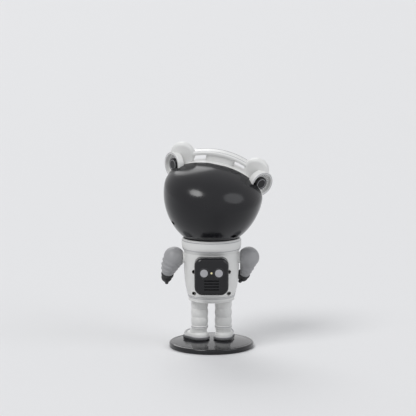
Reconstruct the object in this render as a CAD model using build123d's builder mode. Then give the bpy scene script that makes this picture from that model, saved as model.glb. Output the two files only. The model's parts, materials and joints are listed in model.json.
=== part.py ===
"""Star night light projector: a small astronaut figure with animal ears on a round base.

Millimetres. +Z is up and the origin is the centre of the base's underside. The figure faces -Y.
The head sits in a spherical seat in the collar, tilted back, and projects its light from the face.
"""

import os
from math import asin, cos, degrees, radians, sin, sqrt

from build123d import *

os.makedirs("parts", exist_ok=True)

# ---------------------------------------------------------------- driving dimensions
# Clearances
SEAT_GAP = 0.3  # between curved faces that move past each other
FIT_GAP = 0.05  # radial, round a turning pin or a located peg
JOINT_GAP = 0.15  # between fixed pieces that drop into each other

# Round base
BASE_RADIUS = 49.0
BASE_LIFT = 0.6  # underside of the base above the table
BASE_EDGE_TOP = 6.0  # height where the domed top starts
BASE_DOME_TOP = 8.8
BASE_EDGE_INSET = 2.5  # flat reach of the rounded edge
BASE_EDGE_ROUND = 1.8  # height of the rounded edge
BASE_FOOT_CHAMFER = 0.5
BASE_WALL = 2.4
BASE_PLATE_THICKNESS = 1.8
BASE_ROOM = 2.6  # hollow above the plate
BASE_BOSS_INSET = 10.3  # screw ring in from the edge
BASE_BOSS_RADIUS = 3.2
BASE_SCREWS = 4
GRIP_PAD_INSET = 17.3  # non-slip pad in from the base's edge
GRIP_PAD_POCKET = 0.5
WEIGHT_INSET = 14.3  # steel weight in from the base's edge
WEIGHT_THICKNESS = 2.4

# Screws
SCREW_RADIUS = 1.1
SCREW_HEAD_RADIUS = 2.3
SCREW_HEAD_HEIGHT = 1.0
LEG_BOLT_RADIUS = 1.6
LEG_BOLT_HEAD = 3.2
LEG_BOLT_HEAD_HEIGHT = 1.6
LEG_BOLT_LENGTH = 22.0

# Boots and legs
LEG_SPACING = 27.5  # centre to centre
LEG_RADIUS = 9.2
LEG_FOLD = 0.7  # how far the folds of the suit bulge
LEG_FOLDS = 3
PEG_RADIUS = 5.0
PEG_LENGTH = 6.0
BOOT_LENGTH = 34.0
BOOT_WIDTH = 20.0
BOOT_HEEL = 11.0  # from the leg's centre line back to the heel
BOOT_TOE_HEIGHT = 6.6
BOOT_HEIGHT = 14.0
BOOT_CUFF = 9.8
BOOT_CUFF_HEIGHT = 3.4
BOOT_CUFF_REACH = 0.9  # how far the cuff stands out past the ankle
BOOT_INSTEP_INSET = 5.0  # toe end of the instep in from the boot's toe
BOOT_ROUNDING = 5.0
SOLE_THICKNESS = 2.2
SOLE_REACH = 0.9  # how far the sole stands out round the boot
PAD_HEIGHT = 0.6  # raised footprint above the dome
LEFT_TOE_OUT = 40.0
RIGHT_TOE_OUT = 10.0

# Torso, all rises counted from the hem
HEM_HEIGHT = 55.5
HEM_RADIUS = 25.4
TORSO_HEIGHT = 56.5
TORSO_TOP_RADIUS = 31.2
CHEST_RADIUS = 31.6
CHEST_RISE = 41.0
WAIST_RADIUS = 29.2
WAIST_RISE = 14.5
TORSO_WALL = 2.2
FLOOR_THICKNESS = 3.0
TORSO_SCREW_RISES = (10.5, 36.5)
TORSO_SCREW_OFFSET = 20.0
TORSO_SCREW_SEAT = 6.0
TORSO_BOSS_RADIUS = 3.4

# Shoulders and arms; elbows and wrists are counted from the shoulder's centre
SHOULDER_DROP = 7.0  # shoulder axis below the torso's top
SHOULDER_STEP = 1.4  # boss face past the chest
SHOULDER_BOSS = 6.7
SHOULDER_PIN = 2.5
SHOULDER_PIN_HEAD = 3.6
SHOULDER_PIN_HEAD_LENGTH = 1.6
SHOULDER_PIN_DEPTH = 9.0  # how far the pin reaches into the sleeve
SHOULDER_HUB_LENGTH = 8.5
SHOULDER_HUB_WALL = 2.5
SHOULDER_BALL = 12.4
SHOULDER_BALL_OFFSET = 9.8
SLEEVE_TUCK = 0.6  # the upper arm starts this far inside the ball's widest ring
WRIST_RADIUS = 6.2
LEFT_ELBOW_RADIUS = 10.4
LEFT_ELBOW = (5.3, -2.0, -11.0)
LEFT_WRIST = (7.6, -5.4, -19.4)
RIGHT_ELBOW_RADIUS = 8.8
RIGHT_ELBOW = (2.2, -5.5, -12.0)
RIGHT_WRIST = (4.9, -11.5, -20.5)
GLOVE_RADIUS = 6.2
PALM_LENGTH = 5.8
GLOVE_CUFF = 7.3
GLOVE_CUFF_LENGTH = 3.2
FINGER_RADIUS = 2.15
FINGER_LENGTH = 4.4
FINGERS = 4
FINGER_PITCH = 3.3
FINGER_CURL = 22.0
THUMB_RADIUS = 2.4
THUMB_LENGTH = 5.6
THUMB_SPREAD = 40.0

# Neck seat and collar
COLLAR_RISE = 16.4  # lip of the collar above the torso's top
SEAT_RADIUS = 51.2
SEAT_ANGLE = 45.0  # half angle of the head's spherical underside
COLLAR_LIP = 31.6
COLLAR_WIDTH = 4.1  # from the turntable's bore to the lip
COLLAR_BULGE = 2.9  # how far the roll stands out past the lip
COLLAR_BULGE_DROP = 6.0  # below the lip
BEARING_DROP = 1.4
BEARING_THICKNESS = 2.8
TURNTABLE_HUB = 8.0
CABLE_HOLE = 3.5
RETAINER_REACH = 4.0
RETAINER_THICKNESS = 1.8
RETAINER_GROOVE = 0.8
ROCKER_RADIUS = 6.0
ROCKER_THICKNESS = 2.4
ROCKER_PIN = 3.0
ROCKER_CAP_REACH = 2.5
ROCKER_CAP_THICKNESS = 2.0
ROCKER_BORE = 1.4
TILT_LIMIT = 22.0
NECK_TURN = 28.4  # rest pose: turntable turned left
HEAD_TILT = 17.7  # rest pose: head leans back
HEAD_SPIN = -38.8  # rest pose: head turned back on its own axis

# Head shells
HEAD_RADIUS = 57.0
CROWN_RISE = 32.2  # from the widest ring up to the crown
HEAD_WALL = 2.2
SEAM = -4.0  # the two shells meet here; the face is at negative values
FACE_CUT = 15.0  # how much of the head's radius the flat face takes off
HEAD_SCREW_SIDE = 36.0
HEAD_SCREW_DROP = -22.0
HEAD_SCREW_SEAT = 6.0
HEAD_BOSS_RADIUS = 3.8

# Face
BEZEL_REACH = 0.6  # bezel past the edge of the shell's opening
BEZEL_DEPTH = 5.0
BEZEL_ROUNDING = 3.0
BEZEL_SPIGOT = 3.0
SPIGOT_INSET = 5.6
BEZEL_BORDER = 7.4  # from the bezel's edge in to the visor's edge
VISOR_EDGE = 1.6
VISOR_LIP = 2.4
VISOR_RISE = 5.0
VISOR_RECESS = 1.0  # the dome's edge behind the bezel's front
WINDOW_LIP = 1.6

# Light engine
BARREL_RADIUS = 14.0
BARREL_WALL = 1.8
BARREL_REACH = 2.6  # past the front of the bezel
BARREL_FLANGE = 16.4
BARREL_FLANGE_THICKNESS = 2.0
FRONT_LENS_EDGE = 2.0
FRONT_LENS_RISE = 3.2
FRONT_LENS_RECESS = 1.2
CHASSIS_FRONT = -16.0
CHASSIS_THICKNESS = 2.0
CHASSIS_HALF_WIDTH = 46.0
CHASSIS_HALF_HEIGHT = 33.0
CHASSIS_POST_SIDE = 38.0
CHASSIS_POST_RISE = 12.0
CHASSIS_POST_RADIUS = 3.0
DISC_OFFSET = -15.0
DISC_THICKNESS = 1.5
DISC_CLEARANCE = 1.6
DISC_HUB_RADIUS = 4.0
SPINDLE_RADIUS = 1.5
SPINDLE_HEAD = 3.0
GEAR_MODULE = 1.0
DISC_TEETH = 44
PINION_TEETH = 11
GEAR_BACKLASH = 0.1
PINION_SPARE = 0.5  # pinion stands past the disc on both sides
TOOTH_TIP = 0.80  # addendum, in modules
TOOTH_ROOT = 1.15  # dedendum, in modules
TOOTH_HALF_PITCH = 0.64  # half thickness on the pitch circle, in modules
TOOTH_HALF_TIP = 0.36
TOOTH_HALF_ROOT = 0.92
PINION_ANGLE = -48.0
CARRIER_MARGIN = 2.0  # plate left round each thing it carries
CARRIER_THICKNESS = 1.6
CARRIER_GAP = 6.0  # between chassis and carrier
STANDOFF_RADIUS = 2.2
STANDOFF_RING = 27.5
STANDOFF_ANGLES = (35.0, 110.0, 180.0, 250.0)
MOTOR_RADIUS = 6.0
MOTOR_LENGTH = 15.0
MOTOR_NOSE_RADIUS = 2.2
SHAFT_RADIUS = 0.75
SHAFT_LENGTH = 6.0  # part of the shaft inside the motor
LAMP_TUBE_RADIUS = 11.5
LAMP_TUBE_WALL = 1.6
LAMP_TUBE_LENGTH = 8.0
CONDENSER_EDGE = 1.4
CONDENSER_RISE = 2.6
LED_BOARD_SIDE = 23.0
LED_BOARD_THICKNESS = 1.6
LED_RADIUS = 3.0
LED_BASE = 0.9
LED_DOME = 2.4
SINK_BASE = 2.6
SINK_HEIGHT = 12.0
SINK_FINS = 7
SINK_FIN_THICKNESS = 1.3
LASER_SIDE = 21.5
LASER_RADIUS = 4.5
LASER_LENGTH = 20.0
LASER_REACH = 8.0
STAR_WINDOW_RADIUS = 3.2
STAR_WINDOW_THICKNESS = 1.4

# Band and ears; rises are counted from the head's crown
BAND_DEPTH = -17.0
BAND_WIDTH = 14.0
BAND_THICKNESS = 4.2
BAND_STANDOFF = 11.4  # band's outer face above the crown
BAND_RADIUS = 85.0
BAND_REACH = 36.0
CUSHION_WIDTH = 34.0
CUSHION_DEPTH = 11.0
EAR_DEPTH = -14.0
EAR_INSET = 13.2  # ear's centre in from the head's widest ring
EAR_RISE = -0.4
EAR_RADIUS = 14.4
EAR_ROOT_INSET = 11.0
EAR_ROOT_RISE = -19.0
EAR_ROOT_RADIUS = 8.0
EAR_THICKNESS = 9.0
EAR_ROUNDING = 3.6
DISH_INSET = 8.4
DISH_RISE = -13.6
DISH_DEPTH = -11.5
DISH_TURN = 45.0
DISH_RADIUS = 15.2
DISH_HEIGHT = 7.0
DISH_RIM = 2.6
DISH_FLOOR = 2.4
PUCK_RADIUS = 7.6
PUCK_HEIGHT = 3.4
PUCK_ROUNDING = 1.2

# Back pack; rises are counted from the torso's hem
PACK_WIDTH = 39.0
PACK_RISE = 12.5
PACK_TOP_GAP = 1.0  # top of the pack below the torso's top
PACK_REACH = 11.4  # back face of the pack behind the chest
PACK_ROOT = 9.6  # how far the pack's walls run in along the torso's curve
PACK_CORNER = 9.0
PACK_ROUNDING = 4.0
PACK_WALL = 2.0
VENT_SLOTS = 4
VENT_PITCH = 3.4
VENT_LENGTH = 17.0
VENT_WIDTH = 1.4
VENT_RISE = 12.0  # middle of the slots above the pack's lower edge
BUTTON_RADIUS = 4.5
BUTTON_SPACING = 17.0
BUTTON_RISE = 26.0  # above the pack's lower edge
BUTTON_PROUD = 1.6
BUTTON_FLANGE_REACH = 1.1
BUTTON_FLANGE_THICKNESS = 1.2
BUTTON_STEM = 1.4
BUTTON_TRAVEL = 1.0
BOARD_MARGIN = 2.0  # between the board and the pack's walls
BOARD_THICKNESS = 1.6
BOARD_CORNER = 2.0
BOARD_DEPTH = 5.0  # from the pack's inner face to the board
BOARD_POST_RADIUS = 2.2
SWITCH_SIDE = 5.0
SWITCH_HEIGHT = 1.6
USB_WIDTH = 9.0
USB_THICKNESS = 3.2
USB_DEPTH = 7.2
USB_WALL = 0.4
USB_TONGUE = 0.7
USB_SETBACK = 0.4  # mouth of the inlet above the pack's underside


def finish(piece, label):
    """Name a finished sub-part and write its STEP file."""
    piece.part.label = label
    export_step(piece.part, f"parts/{label}.step")


# ---------------------------------------------------------------- places that follow from the sizes
plate_top = BASE_LIFT + BASE_PLATE_THICKNESS
base_ceiling = plate_top + BASE_ROOM
torso_top = HEM_HEIGHT + TORSO_HEIGHT
shoulder_height = torso_top - SHOULDER_DROP
shoulder_face = CHEST_RADIUS + SHOULDER_STEP
shoulder_hub = SHOULDER_PIN + SHOULDER_HUB_WALL
hub_inner = shoulder_face - SHOULDER_HUB_LENGTH
bearing_top = torso_top - BEARING_DROP
bearing_bottom = bearing_top - BEARING_THICKNESS

cup_radius = SEAT_RADIUS + SEAT_GAP
collar_cup = cup_radius + SEAT_GAP
lip_height = torso_top + COLLAR_RISE
head_height = lip_height + sqrt(collar_cup**2 - COLLAR_LIP**2)

cheek_radius = (HEAD_RADIUS - SEAT_RADIUS * sin(radians(SEAT_ANGLE))) / (1 - sin(radians(SEAT_ANGLE)))
cheek_centre = (
    (SEAT_RADIUS - cheek_radius) * sin(radians(SEAT_ANGLE)),
    (cheek_radius - SEAT_RADIUS) * cos(radians(SEAT_ANGLE)),
)
widest = cheek_centre[1]
crown = widest + CROWN_RISE
band_top = crown + BAND_STANDOFF

face_plane = FACE_CUT - HEAD_RADIUS
opening_top = widest + CROWN_RISE * sqrt(1 - (face_plane / HEAD_RADIUS) ** 2)
opening_bottom = widest - sqrt(cheek_radius**2 - (-face_plane - cheek_centre[0]) ** 2)
face_centre = (opening_top + opening_bottom) / 2
bezel_half_height = (opening_top - opening_bottom) / 2 + BEZEL_REACH
bezel_half_width = sqrt(HEAD_RADIUS**2 - face_plane**2) + BEZEL_REACH

# ---------------------------------------------------------------- shared frames
CENTRE = Vector(0, 0, head_height)
TURNED = Plane(Location(CENTRE) * Rotation(0, 0, NECK_TURN))
LEANING = Plane(TURNED.location * Rotation(-HEAD_TILT, 0, 0))
HEAD = Plane(LEANING.location * Rotation(0, 0, HEAD_SPIN))
HEAD_AXIS = Axis(HEAD.origin, HEAD.z_dir)
LEAN_AXIS = Plane(origin=CENTRE, x_dir=(0, 0, 1), z_dir=TURNED.x_dir)  # its z is the axis that the head leans about


def on_head(side=0.0, depth=0.0, rise=0.0, plane=Plane.XY):
    """A work plane fixed to the head: side, depth (face negative) and rise from the seat's centre."""
    return Plane(HEAD.location * Location((side, depth, rise)) * plane.location)


def facing(side=0.0, depth=0.0, rise=0.0):
    """A work plane across the head that looks out of the face: its x is to the side, its y up."""
    return on_head(side, depth, rise, Plane.XZ)


# ---------------------------------------------------------------- base
BOSS_TURN = 45.0
sole_bottom = BASE_DOME_TOP + PAD_HEIGHT
edge_inner = BASE_RADIUS - BASE_EDGE_INSET
edge_low = BASE_EDGE_TOP - BASE_EDGE_ROUND
boss_ring = BASE_RADIUS - BASE_BOSS_INSET
pad_radius = BASE_RADIUS - GRIP_PAD_INSET
dome_rise = BASE_DOME_TOP - BASE_EDGE_TOP
dome_radius = (edge_inner**2 + dome_rise**2) / (2 * dome_rise)
dome_angle = degrees(asin(edge_inner / dome_radius))
leg_places = ((LEG_SPACING / 2, 0.0), (-LEG_SPACING / 2, 0.0))


def footprint(side):
    """Plane under one boot, its x axis along the toe."""
    toe_out = LEFT_TOE_OUT if side > 0 else RIGHT_TOE_OUT
    toe = Vector(side * sin(radians(toe_out)), -cos(radians(toe_out)), 0)
    return Plane(origin=(side * LEG_SPACING / 2, 0, sole_bottom), x_dir=toe, z_dir=(0, 0, 1))


def boot_outline(reach):
    """Rounded boot outline on the current plane, grown all round by reach."""
    with Locations((BOOT_LENGTH / 2 - BOOT_HEEL, 0)):
        SlotOverall(BOOT_LENGTH + 2 * reach, BOOT_WIDTH + 2 * reach)


with BuildPart() as base_cover:
    with BuildSketch(Plane.XZ):
        with BuildLine():
            Polyline(
                (0, BASE_LIFT),
                (BASE_RADIUS - BASE_FOOT_CHAMFER, BASE_LIFT),
                (BASE_RADIUS, BASE_LIFT + BASE_FOOT_CHAMFER),
                (BASE_RADIUS, edge_low),
            )
            TangentArc((BASE_RADIUS, edge_low), (edge_inner, BASE_EDGE_TOP), tangent=(0, 1))
            CenterArc((0, BASE_DOME_TOP - dome_radius), dome_radius, 90 - dome_angle, dome_angle)
            Line((0, BASE_DOME_TOP), (0, BASE_LIFT))
        make_face()
    revolve(axis=Axis.Z)
    for side in (1, -1):
        with BuildSketch(footprint(side)):
            boot_outline(SOLE_REACH)
        extrude(amount=BASE_EDGE_TOP - sole_bottom)
    with BuildSketch(Plane.XY.offset(BASE_LIFT)):
        Circle(BASE_RADIUS - BASE_WALL)
    extrude(amount=BASE_PLATE_THICKNESS, mode=Mode.SUBTRACT)
    with BuildSketch(Plane.XY.offset(plate_top)):
        Circle(BASE_RADIUS - 2 * BASE_WALL)
    extrude(amount=base_ceiling - plate_top, mode=Mode.SUBTRACT)
    with BuildSketch(Plane.XY.offset(plate_top)):
        with PolarLocations(boss_ring, BASE_SCREWS, BOSS_TURN):
            Circle(BASE_BOSS_RADIUS)
    extrude(amount=base_ceiling - plate_top)
    with BuildSketch(Plane.XY.offset(plate_top)):
        with PolarLocations(boss_ring, BASE_SCREWS, BOSS_TURN):
            Circle(SCREW_RADIUS + FIT_GAP)
    extrude(amount=base_ceiling - plate_top, mode=Mode.SUBTRACT)
    with BuildSketch(Plane.XY.offset(plate_top)):
        with Locations(*leg_places):
            Circle(LEG_BOLT_RADIUS + FIT_GAP)
    extrude(amount=BASE_DOME_TOP, mode=Mode.SUBTRACT)
finish(base_cover, "base_cover")

with BuildPart() as base_plate:
    with BuildSketch(Plane.XY.offset(BASE_LIFT)):
        Circle(BASE_RADIUS - BASE_WALL - JOINT_GAP)
    extrude(amount=BASE_PLATE_THICKNESS)
    with BuildSketch(Plane.XY.offset(BASE_LIFT)):
        Circle(pad_radius + FIT_GAP)
    extrude(amount=GRIP_PAD_POCKET, mode=Mode.SUBTRACT)
    with Locations(Plane(origin=(0, 0, BASE_LIFT), x_dir=(1, 0, 0), z_dir=(0, 0, -1))):
        with PolarLocations(boss_ring, BASE_SCREWS, BOSS_TURN):
            CounterBoreHole(
                SCREW_RADIUS + FIT_GAP,
                SCREW_HEAD_RADIUS + JOINT_GAP,
                SCREW_HEAD_HEIGHT,
                BASE_PLATE_THICKNESS,
            )
finish(base_plate, "base_plate")

with BuildPart() as base_weight:
    with BuildSketch(Plane.XY.offset(plate_top)):
        Circle(BASE_RADIUS - WEIGHT_INSET)
        with Locations(*leg_places):
            Circle(LEG_BOLT_HEAD + 2 * SEAT_GAP, mode=Mode.SUBTRACT)
    extrude(amount=WEIGHT_THICKNESS)
finish(base_weight, "base_weight")

with BuildPart() as base_pad:
    with BuildSketch():
        Circle(pad_radius)
    extrude(amount=BASE_LIFT + GRIP_PAD_POCKET)
    chamfer(base_pad.faces().sort_by(Axis.Z)[0].edges(), 0.3)
finish(base_pad, "base_pad")

with BuildPart() as base_screws:
    with BuildSketch(Plane.XY.offset(BASE_LIFT)):
        with PolarLocations(boss_ring, BASE_SCREWS, BOSS_TURN):
            Circle(SCREW_HEAD_RADIUS)
    extrude(amount=SCREW_HEAD_HEIGHT)
    with BuildSketch(Plane.XY.offset(BASE_LIFT + SCREW_HEAD_HEIGHT)):
        with PolarLocations(boss_ring, BASE_SCREWS, BOSS_TURN):
            Circle(SCREW_RADIUS)
    extrude(amount=base_ceiling - BASE_LIFT - SCREW_HEAD_HEIGHT - FIT_GAP)
finish(base_screws, "base_screws")

with BuildPart() as leg_bolts:
    with BuildSketch(Plane.XY.offset(base_ceiling)):
        with Locations(*leg_places):
            Circle(LEG_BOLT_HEAD)
    extrude(amount=-LEG_BOLT_HEAD_HEIGHT)
    with BuildSketch(Plane.XY.offset(base_ceiling)):
        with Locations(*leg_places):
            Circle(LEG_BOLT_RADIUS)
    extrude(amount=LEG_BOLT_LENGTH)
finish(leg_bolts, "leg_bolts")

# ---------------------------------------------------------------- boots and legs
cuff_top = sole_bottom + SOLE_THICKNESS + BOOT_HEIGHT
leg_height = HEM_HEIGHT - cuff_top
fold_height = leg_height / LEG_FOLDS

for side, name in ((1, "left"), (-1, "right")):
    ground = footprint(side)
    upper = ground.offset(SOLE_THICKNESS)

    with BuildPart() as sole:
        with BuildSketch(ground):
            boot_outline(SOLE_REACH)
        extrude(amount=SOLE_THICKNESS)
        chamfer(sole.faces().sort_by(Axis.Z)[-1].edges(), 0.5)
        with BuildSketch(ground):
            Circle(LEG_BOLT_RADIUS + FIT_GAP)
        extrude(amount=SOLE_THICKNESS, mode=Mode.SUBTRACT)
    finish(sole, f"{name}_sole")

    with BuildPart() as boot:
        with BuildSketch(upper):
            boot_outline(0)
        extrude(amount=BOOT_TOE_HEIGHT)
        fillet(boot.faces().sort_by(Axis.Z)[-1].edges(), BOOT_ROUNDING)
        with BuildSketch(upper.offset(BOOT_TOE_HEIGHT / 2)):
            with Locations((BOOT_LENGTH / 2 - BOOT_HEEL - BOOT_INSTEP_INSET / 2, 0)):
                Ellipse(BOOT_LENGTH / 2 - BOOT_INSTEP_INSET, BOOT_WIDTH / 2 - BOOT_CUFF_REACH)
        with BuildSketch(upper.offset(BOOT_HEIGHT - BOOT_CUFF_HEIGHT / 2)):
            Ellipse(BOOT_CUFF - BOOT_CUFF_REACH, BOOT_CUFF - BOOT_CUFF_REACH)
        loft()
        with BuildSketch(upper.offset(BOOT_HEIGHT - BOOT_CUFF_HEIGHT)):
            Circle(BOOT_CUFF)
        extrude(amount=BOOT_CUFF_HEIGHT)
        fillet(boot.faces().sort_by(Axis.Z)[-1].edges(), BOOT_CUFF_HEIGHT / 3)
        with BuildSketch(upper.offset(BOOT_HEIGHT)):
            Circle(PEG_RADIUS + FIT_GAP)
        extrude(amount=-PEG_LENGTH - FIT_GAP, mode=Mode.SUBTRACT)
        with BuildSketch(upper):
            Circle(LEG_BOLT_RADIUS + FIT_GAP)
        extrude(amount=BOOT_HEIGHT, mode=Mode.SUBTRACT)
    finish(boot, f"{name}_boot")

    with BuildPart() as leg:
        leg_axis = Plane(origin=(side * LEG_SPACING / 2, 0, 0), x_dir=(1, 0, 0), z_dir=(0, -1, 0))
        with BuildSketch(leg_axis):
            with BuildLine():
                Line((0, cuff_top), (LEG_RADIUS, cuff_top))
                for fold in range(LEG_FOLDS):
                    low = cuff_top + fold * fold_height
                    ThreePointArc(
                        (LEG_RADIUS, low),
                        (LEG_RADIUS + LEG_FOLD, low + fold_height / 2),
                        (LEG_RADIUS, low + fold_height),
                    )
                Line((LEG_RADIUS, HEM_HEIGHT), (0, HEM_HEIGHT))
                Line((0, HEM_HEIGHT), (0, cuff_top))
            make_face()
        revolve(axis=Axis((side * LEG_SPACING / 2, 0, 0), (0, 0, 1)))
        with BuildSketch(Plane(origin=(side * LEG_SPACING / 2, 0, HEM_HEIGHT))):
            Circle(PEG_RADIUS)
        extrude(amount=FLOOR_THICKNESS)
        with BuildSketch(Plane(origin=(side * LEG_SPACING / 2, 0, cuff_top))):
            Circle(PEG_RADIUS)
        extrude(amount=-PEG_LENGTH)
        with BuildSketch(Plane(origin=(side * LEG_SPACING / 2, 0, cuff_top - PEG_LENGTH))):
            Circle(LEG_BOLT_RADIUS + FIT_GAP)
        extrude(amount=LEG_BOLT_LENGTH, mode=Mode.SUBTRACT)
    finish(leg, f"{name}_leg")

# ---------------------------------------------------------------- torso
torso_screw_places = tuple(
    (side * TORSO_SCREW_OFFSET, HEM_HEIGHT + rise) for side in (1, -1) for rise in TORSO_SCREW_RISES
)


def torso_side(inset):
    """Side line of the torso from hem to top, moved in by inset; closes on the centre line."""
    Spline(
        (HEM_RADIUS - inset, HEM_HEIGHT),
        (WAIST_RADIUS - inset, HEM_HEIGHT + WAIST_RISE),
        (CHEST_RADIUS - inset, HEM_HEIGHT + CHEST_RISE),
        (TORSO_TOP_RADIUS - inset, torso_top),
    )
    Polyline(
        (TORSO_TOP_RADIUS - inset, torso_top),
        (0, torso_top),
        (0, HEM_HEIGHT),
        (HEM_RADIUS - inset, HEM_HEIGHT),
    )


with BuildPart() as torso_form:
    with BuildSketch(Plane.XZ):
        with BuildLine():
            torso_side(0)
        make_face()
    revolve(axis=Axis.Z)

with BuildPart() as torso_space:
    with BuildSketch(Plane.XZ):
        with BuildLine():
            torso_side(TORSO_WALL)
        make_face()
    revolve(axis=Axis.Z)

with BuildPart() as torso_posts:
    with BuildSketch(Plane.XZ):
        with Locations(*torso_screw_places):
            Circle(TORSO_BOSS_RADIUS)
    extrude(amount=CHEST_RADIUS, both=True)
    add(torso_form.part, mode=Mode.INTERSECT)

with BuildPart() as torso_shell:
    add(torso_form.part)
    add(torso_space.part, mode=Mode.SUBTRACT)
    add(torso_posts.part)
    with BuildSketch(Plane.YZ.offset(hub_inner)):
        with Locations((0, shoulder_height)):
            Circle(shoulder_hub)
    extrude(amount=shoulder_face - hub_inner)
    with BuildSketch(Plane.YZ.offset(CHEST_RADIUS - TORSO_WALL)):
        with Locations((0, shoulder_height)):
            Circle(SHOULDER_BOSS)
    extrude(amount=shoulder_face - CHEST_RADIUS + TORSO_WALL)
    with BuildSketch(Plane.YZ.offset(-hub_inner)):
        with Locations((0, shoulder_height)):
            Circle(shoulder_hub)
    extrude(amount=hub_inner - shoulder_face)
    with BuildSketch(Plane.YZ.offset(TORSO_WALL - CHEST_RADIUS)):
        with Locations((0, shoulder_height)):
            Circle(SHOULDER_BOSS)
    extrude(amount=CHEST_RADIUS - TORSO_WALL - shoulder_face)
    with BuildSketch(Plane.YZ):
        with Locations((0, shoulder_height)):
            Circle(SHOULDER_PIN + FIT_GAP)
    extrude(amount=shoulder_face, both=True, mode=Mode.SUBTRACT)

with BuildPart() as torso_front:
    add(torso_shell.part)
    split(bisect_by=Plane.XZ, keep=Keep.TOP)
    with BuildSketch(Plane.XZ):
        with Locations(*torso_screw_places):
            Circle(SCREW_RADIUS + FIT_GAP)
    extrude(amount=TORSO_SCREW_SEAT + 2, mode=Mode.SUBTRACT)
finish(torso_front, "torso_front")

with BuildPart() as torso_rear:
    add(torso_shell.part)
    split(bisect_by=Plane.XZ, keep=Keep.BOTTOM)
    with BuildSketch(Plane.XZ):
        with Locations(*torso_screw_places):
            Circle(SCREW_RADIUS + FIT_GAP)
    extrude(amount=-CHEST_RADIUS, mode=Mode.SUBTRACT)
    with BuildSketch(Plane.XZ.offset(-TORSO_SCREW_SEAT)):
        with Locations(*torso_screw_places):
            Circle(SCREW_HEAD_RADIUS + JOINT_GAP)
    extrude(amount=-CHEST_RADIUS, mode=Mode.SUBTRACT)
finish(torso_rear, "torso_rear")

with BuildPart() as torso_screws:
    with BuildSketch(Plane.XZ.offset(-TORSO_SCREW_SEAT)):
        with Locations(*torso_screw_places):
            Circle(SCREW_HEAD_RADIUS)
    extrude(amount=-SCREW_HEAD_HEIGHT)
    with BuildSketch(Plane.XZ.offset(-TORSO_SCREW_SEAT)):
        with Locations(*torso_screw_places):
            Circle(SCREW_RADIUS)
    extrude(amount=2 * TORSO_SCREW_SEAT)
finish(torso_screws, "torso_screws")

with BuildPart() as torso_floor:
    with BuildSketch(Plane.XY.offset(HEM_HEIGHT)):
        Circle(HEM_RADIUS - TORSO_WALL - JOINT_GAP)
        with Locations(*leg_places):
            Circle(PEG_RADIUS + FIT_GAP, mode=Mode.SUBTRACT)
    extrude(amount=FLOOR_THICKNESS)
finish(torso_floor, "torso_floor")

# ---------------------------------------------------------------- collar and neck seat
slot_floor_radius = cup_radius + ROCKER_THICKNESS + SEAT_GAP
collar_inner = COLLAR_LIP - COLLAR_WIDTH
collar_rebate = TORSO_TOP_RADIUS - TORSO_WALL - JOINT_GAP
turntable_radius = collar_inner - SEAT_GAP


def seat_height(radius, sphere):
    """Height of a point on a sphere round the seat's centre, at a radius from the figure's axis."""
    return head_height - sqrt(sphere**2 - radius**2)


with BuildPart() as collar:
    with BuildSketch(Plane.XZ):
        with BuildLine():
            inner_top = (collar_inner, seat_height(collar_inner, collar_cup))
            lip = (COLLAR_LIP, lip_height)
            RadiusArc(inner_top, lip, -collar_cup)
            Spline(
                lip,
                (COLLAR_LIP + COLLAR_BULGE, lip_height - COLLAR_BULGE_DROP),
                (TORSO_TOP_RADIUS, torso_top),
                tangents=((0.6, 0.4), (-0.45, -1)),
            )
            Polyline(
                (TORSO_TOP_RADIUS, torso_top),
                (collar_rebate, torso_top),
                (collar_rebate, bearing_top),
                (collar_inner, bearing_top),
                inner_top,
            )
        make_face()
    revolve(axis=Axis.Z)
finish(collar, "collar")

pin_notch = CHEST_RADIUS - hub_inner + JOINT_GAP + SHOULDER_PIN_HEAD_LENGTH + SEAT_GAP

with BuildPart() as neck_bearing:
    with BuildSketch(Plane.XY.offset(bearing_bottom)):
        Circle(collar_rebate)
        Circle(TURNTABLE_HUB + FIT_GAP, mode=Mode.SUBTRACT)
        with Locations((CHEST_RADIUS, 0), (-CHEST_RADIUS, 0)):
            Rectangle(2 * pin_notch, 2 * (shoulder_hub + SEAT_GAP), mode=Mode.SUBTRACT)
    extrude(amount=BEARING_THICKNESS)
finish(neck_bearing, "neck_bearing")

turntable_bottom = bearing_top + SEAT_GAP / 2
turntable_top = seat_height(turntable_radius, cup_radius)
slot_half_length = (cup_radius + ROCKER_THICKNESS / 2) * sin(radians(TILT_LIMIT)) + ROCKER_RADIUS + JOINT_GAP
slot_width = 2 * (ROCKER_RADIUS + JOINT_GAP)
turntable_plane = Plane(origin=(0, 0, turntable_bottom), x_dir=TURNED.y_dir, z_dir=(0, 0, 1))

with BuildPart() as slot_floor:
    with BuildSketch(turntable_plane):
        SlotOverall(2 * slot_half_length, slot_width)
    extrude(amount=turntable_top - turntable_bottom)
    with Locations(LEAN_AXIS):
        Cylinder(slot_floor_radius, 2 * slot_width, mode=Mode.SUBTRACT)

with BuildPart() as neck_turntable:
    with BuildSketch(turntable_plane):
        Circle(turntable_radius)
        SlotOverall(2 * slot_half_length, slot_width, mode=Mode.SUBTRACT)
    extrude(amount=turntable_top - turntable_bottom)
    with Locations(CENTRE):
        Sphere(cup_radius, mode=Mode.SUBTRACT)
    add(slot_floor.part)
    with BuildSketch(turntable_plane):
        Circle(TURNTABLE_HUB)
    extrude(amount=bearing_bottom - 2 * RETAINER_THICKNESS - turntable_bottom)
    with BuildSketch(Plane.XY.offset(bearing_bottom - SEAT_GAP - RETAINER_THICKNESS - FIT_GAP)):
        Circle(TURNTABLE_HUB)
        Circle(TURNTABLE_HUB - RETAINER_GROOVE, mode=Mode.SUBTRACT)
    extrude(amount=RETAINER_THICKNESS + 2 * FIT_GAP, mode=Mode.SUBTRACT)
    with BuildSketch(turntable_plane.offset(-TURNTABLE_HUB)):
        Circle(CABLE_HOLE)
    extrude(amount=4 * TURNTABLE_HUB, mode=Mode.SUBTRACT)
finish(neck_turntable, "neck_turntable")

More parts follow.
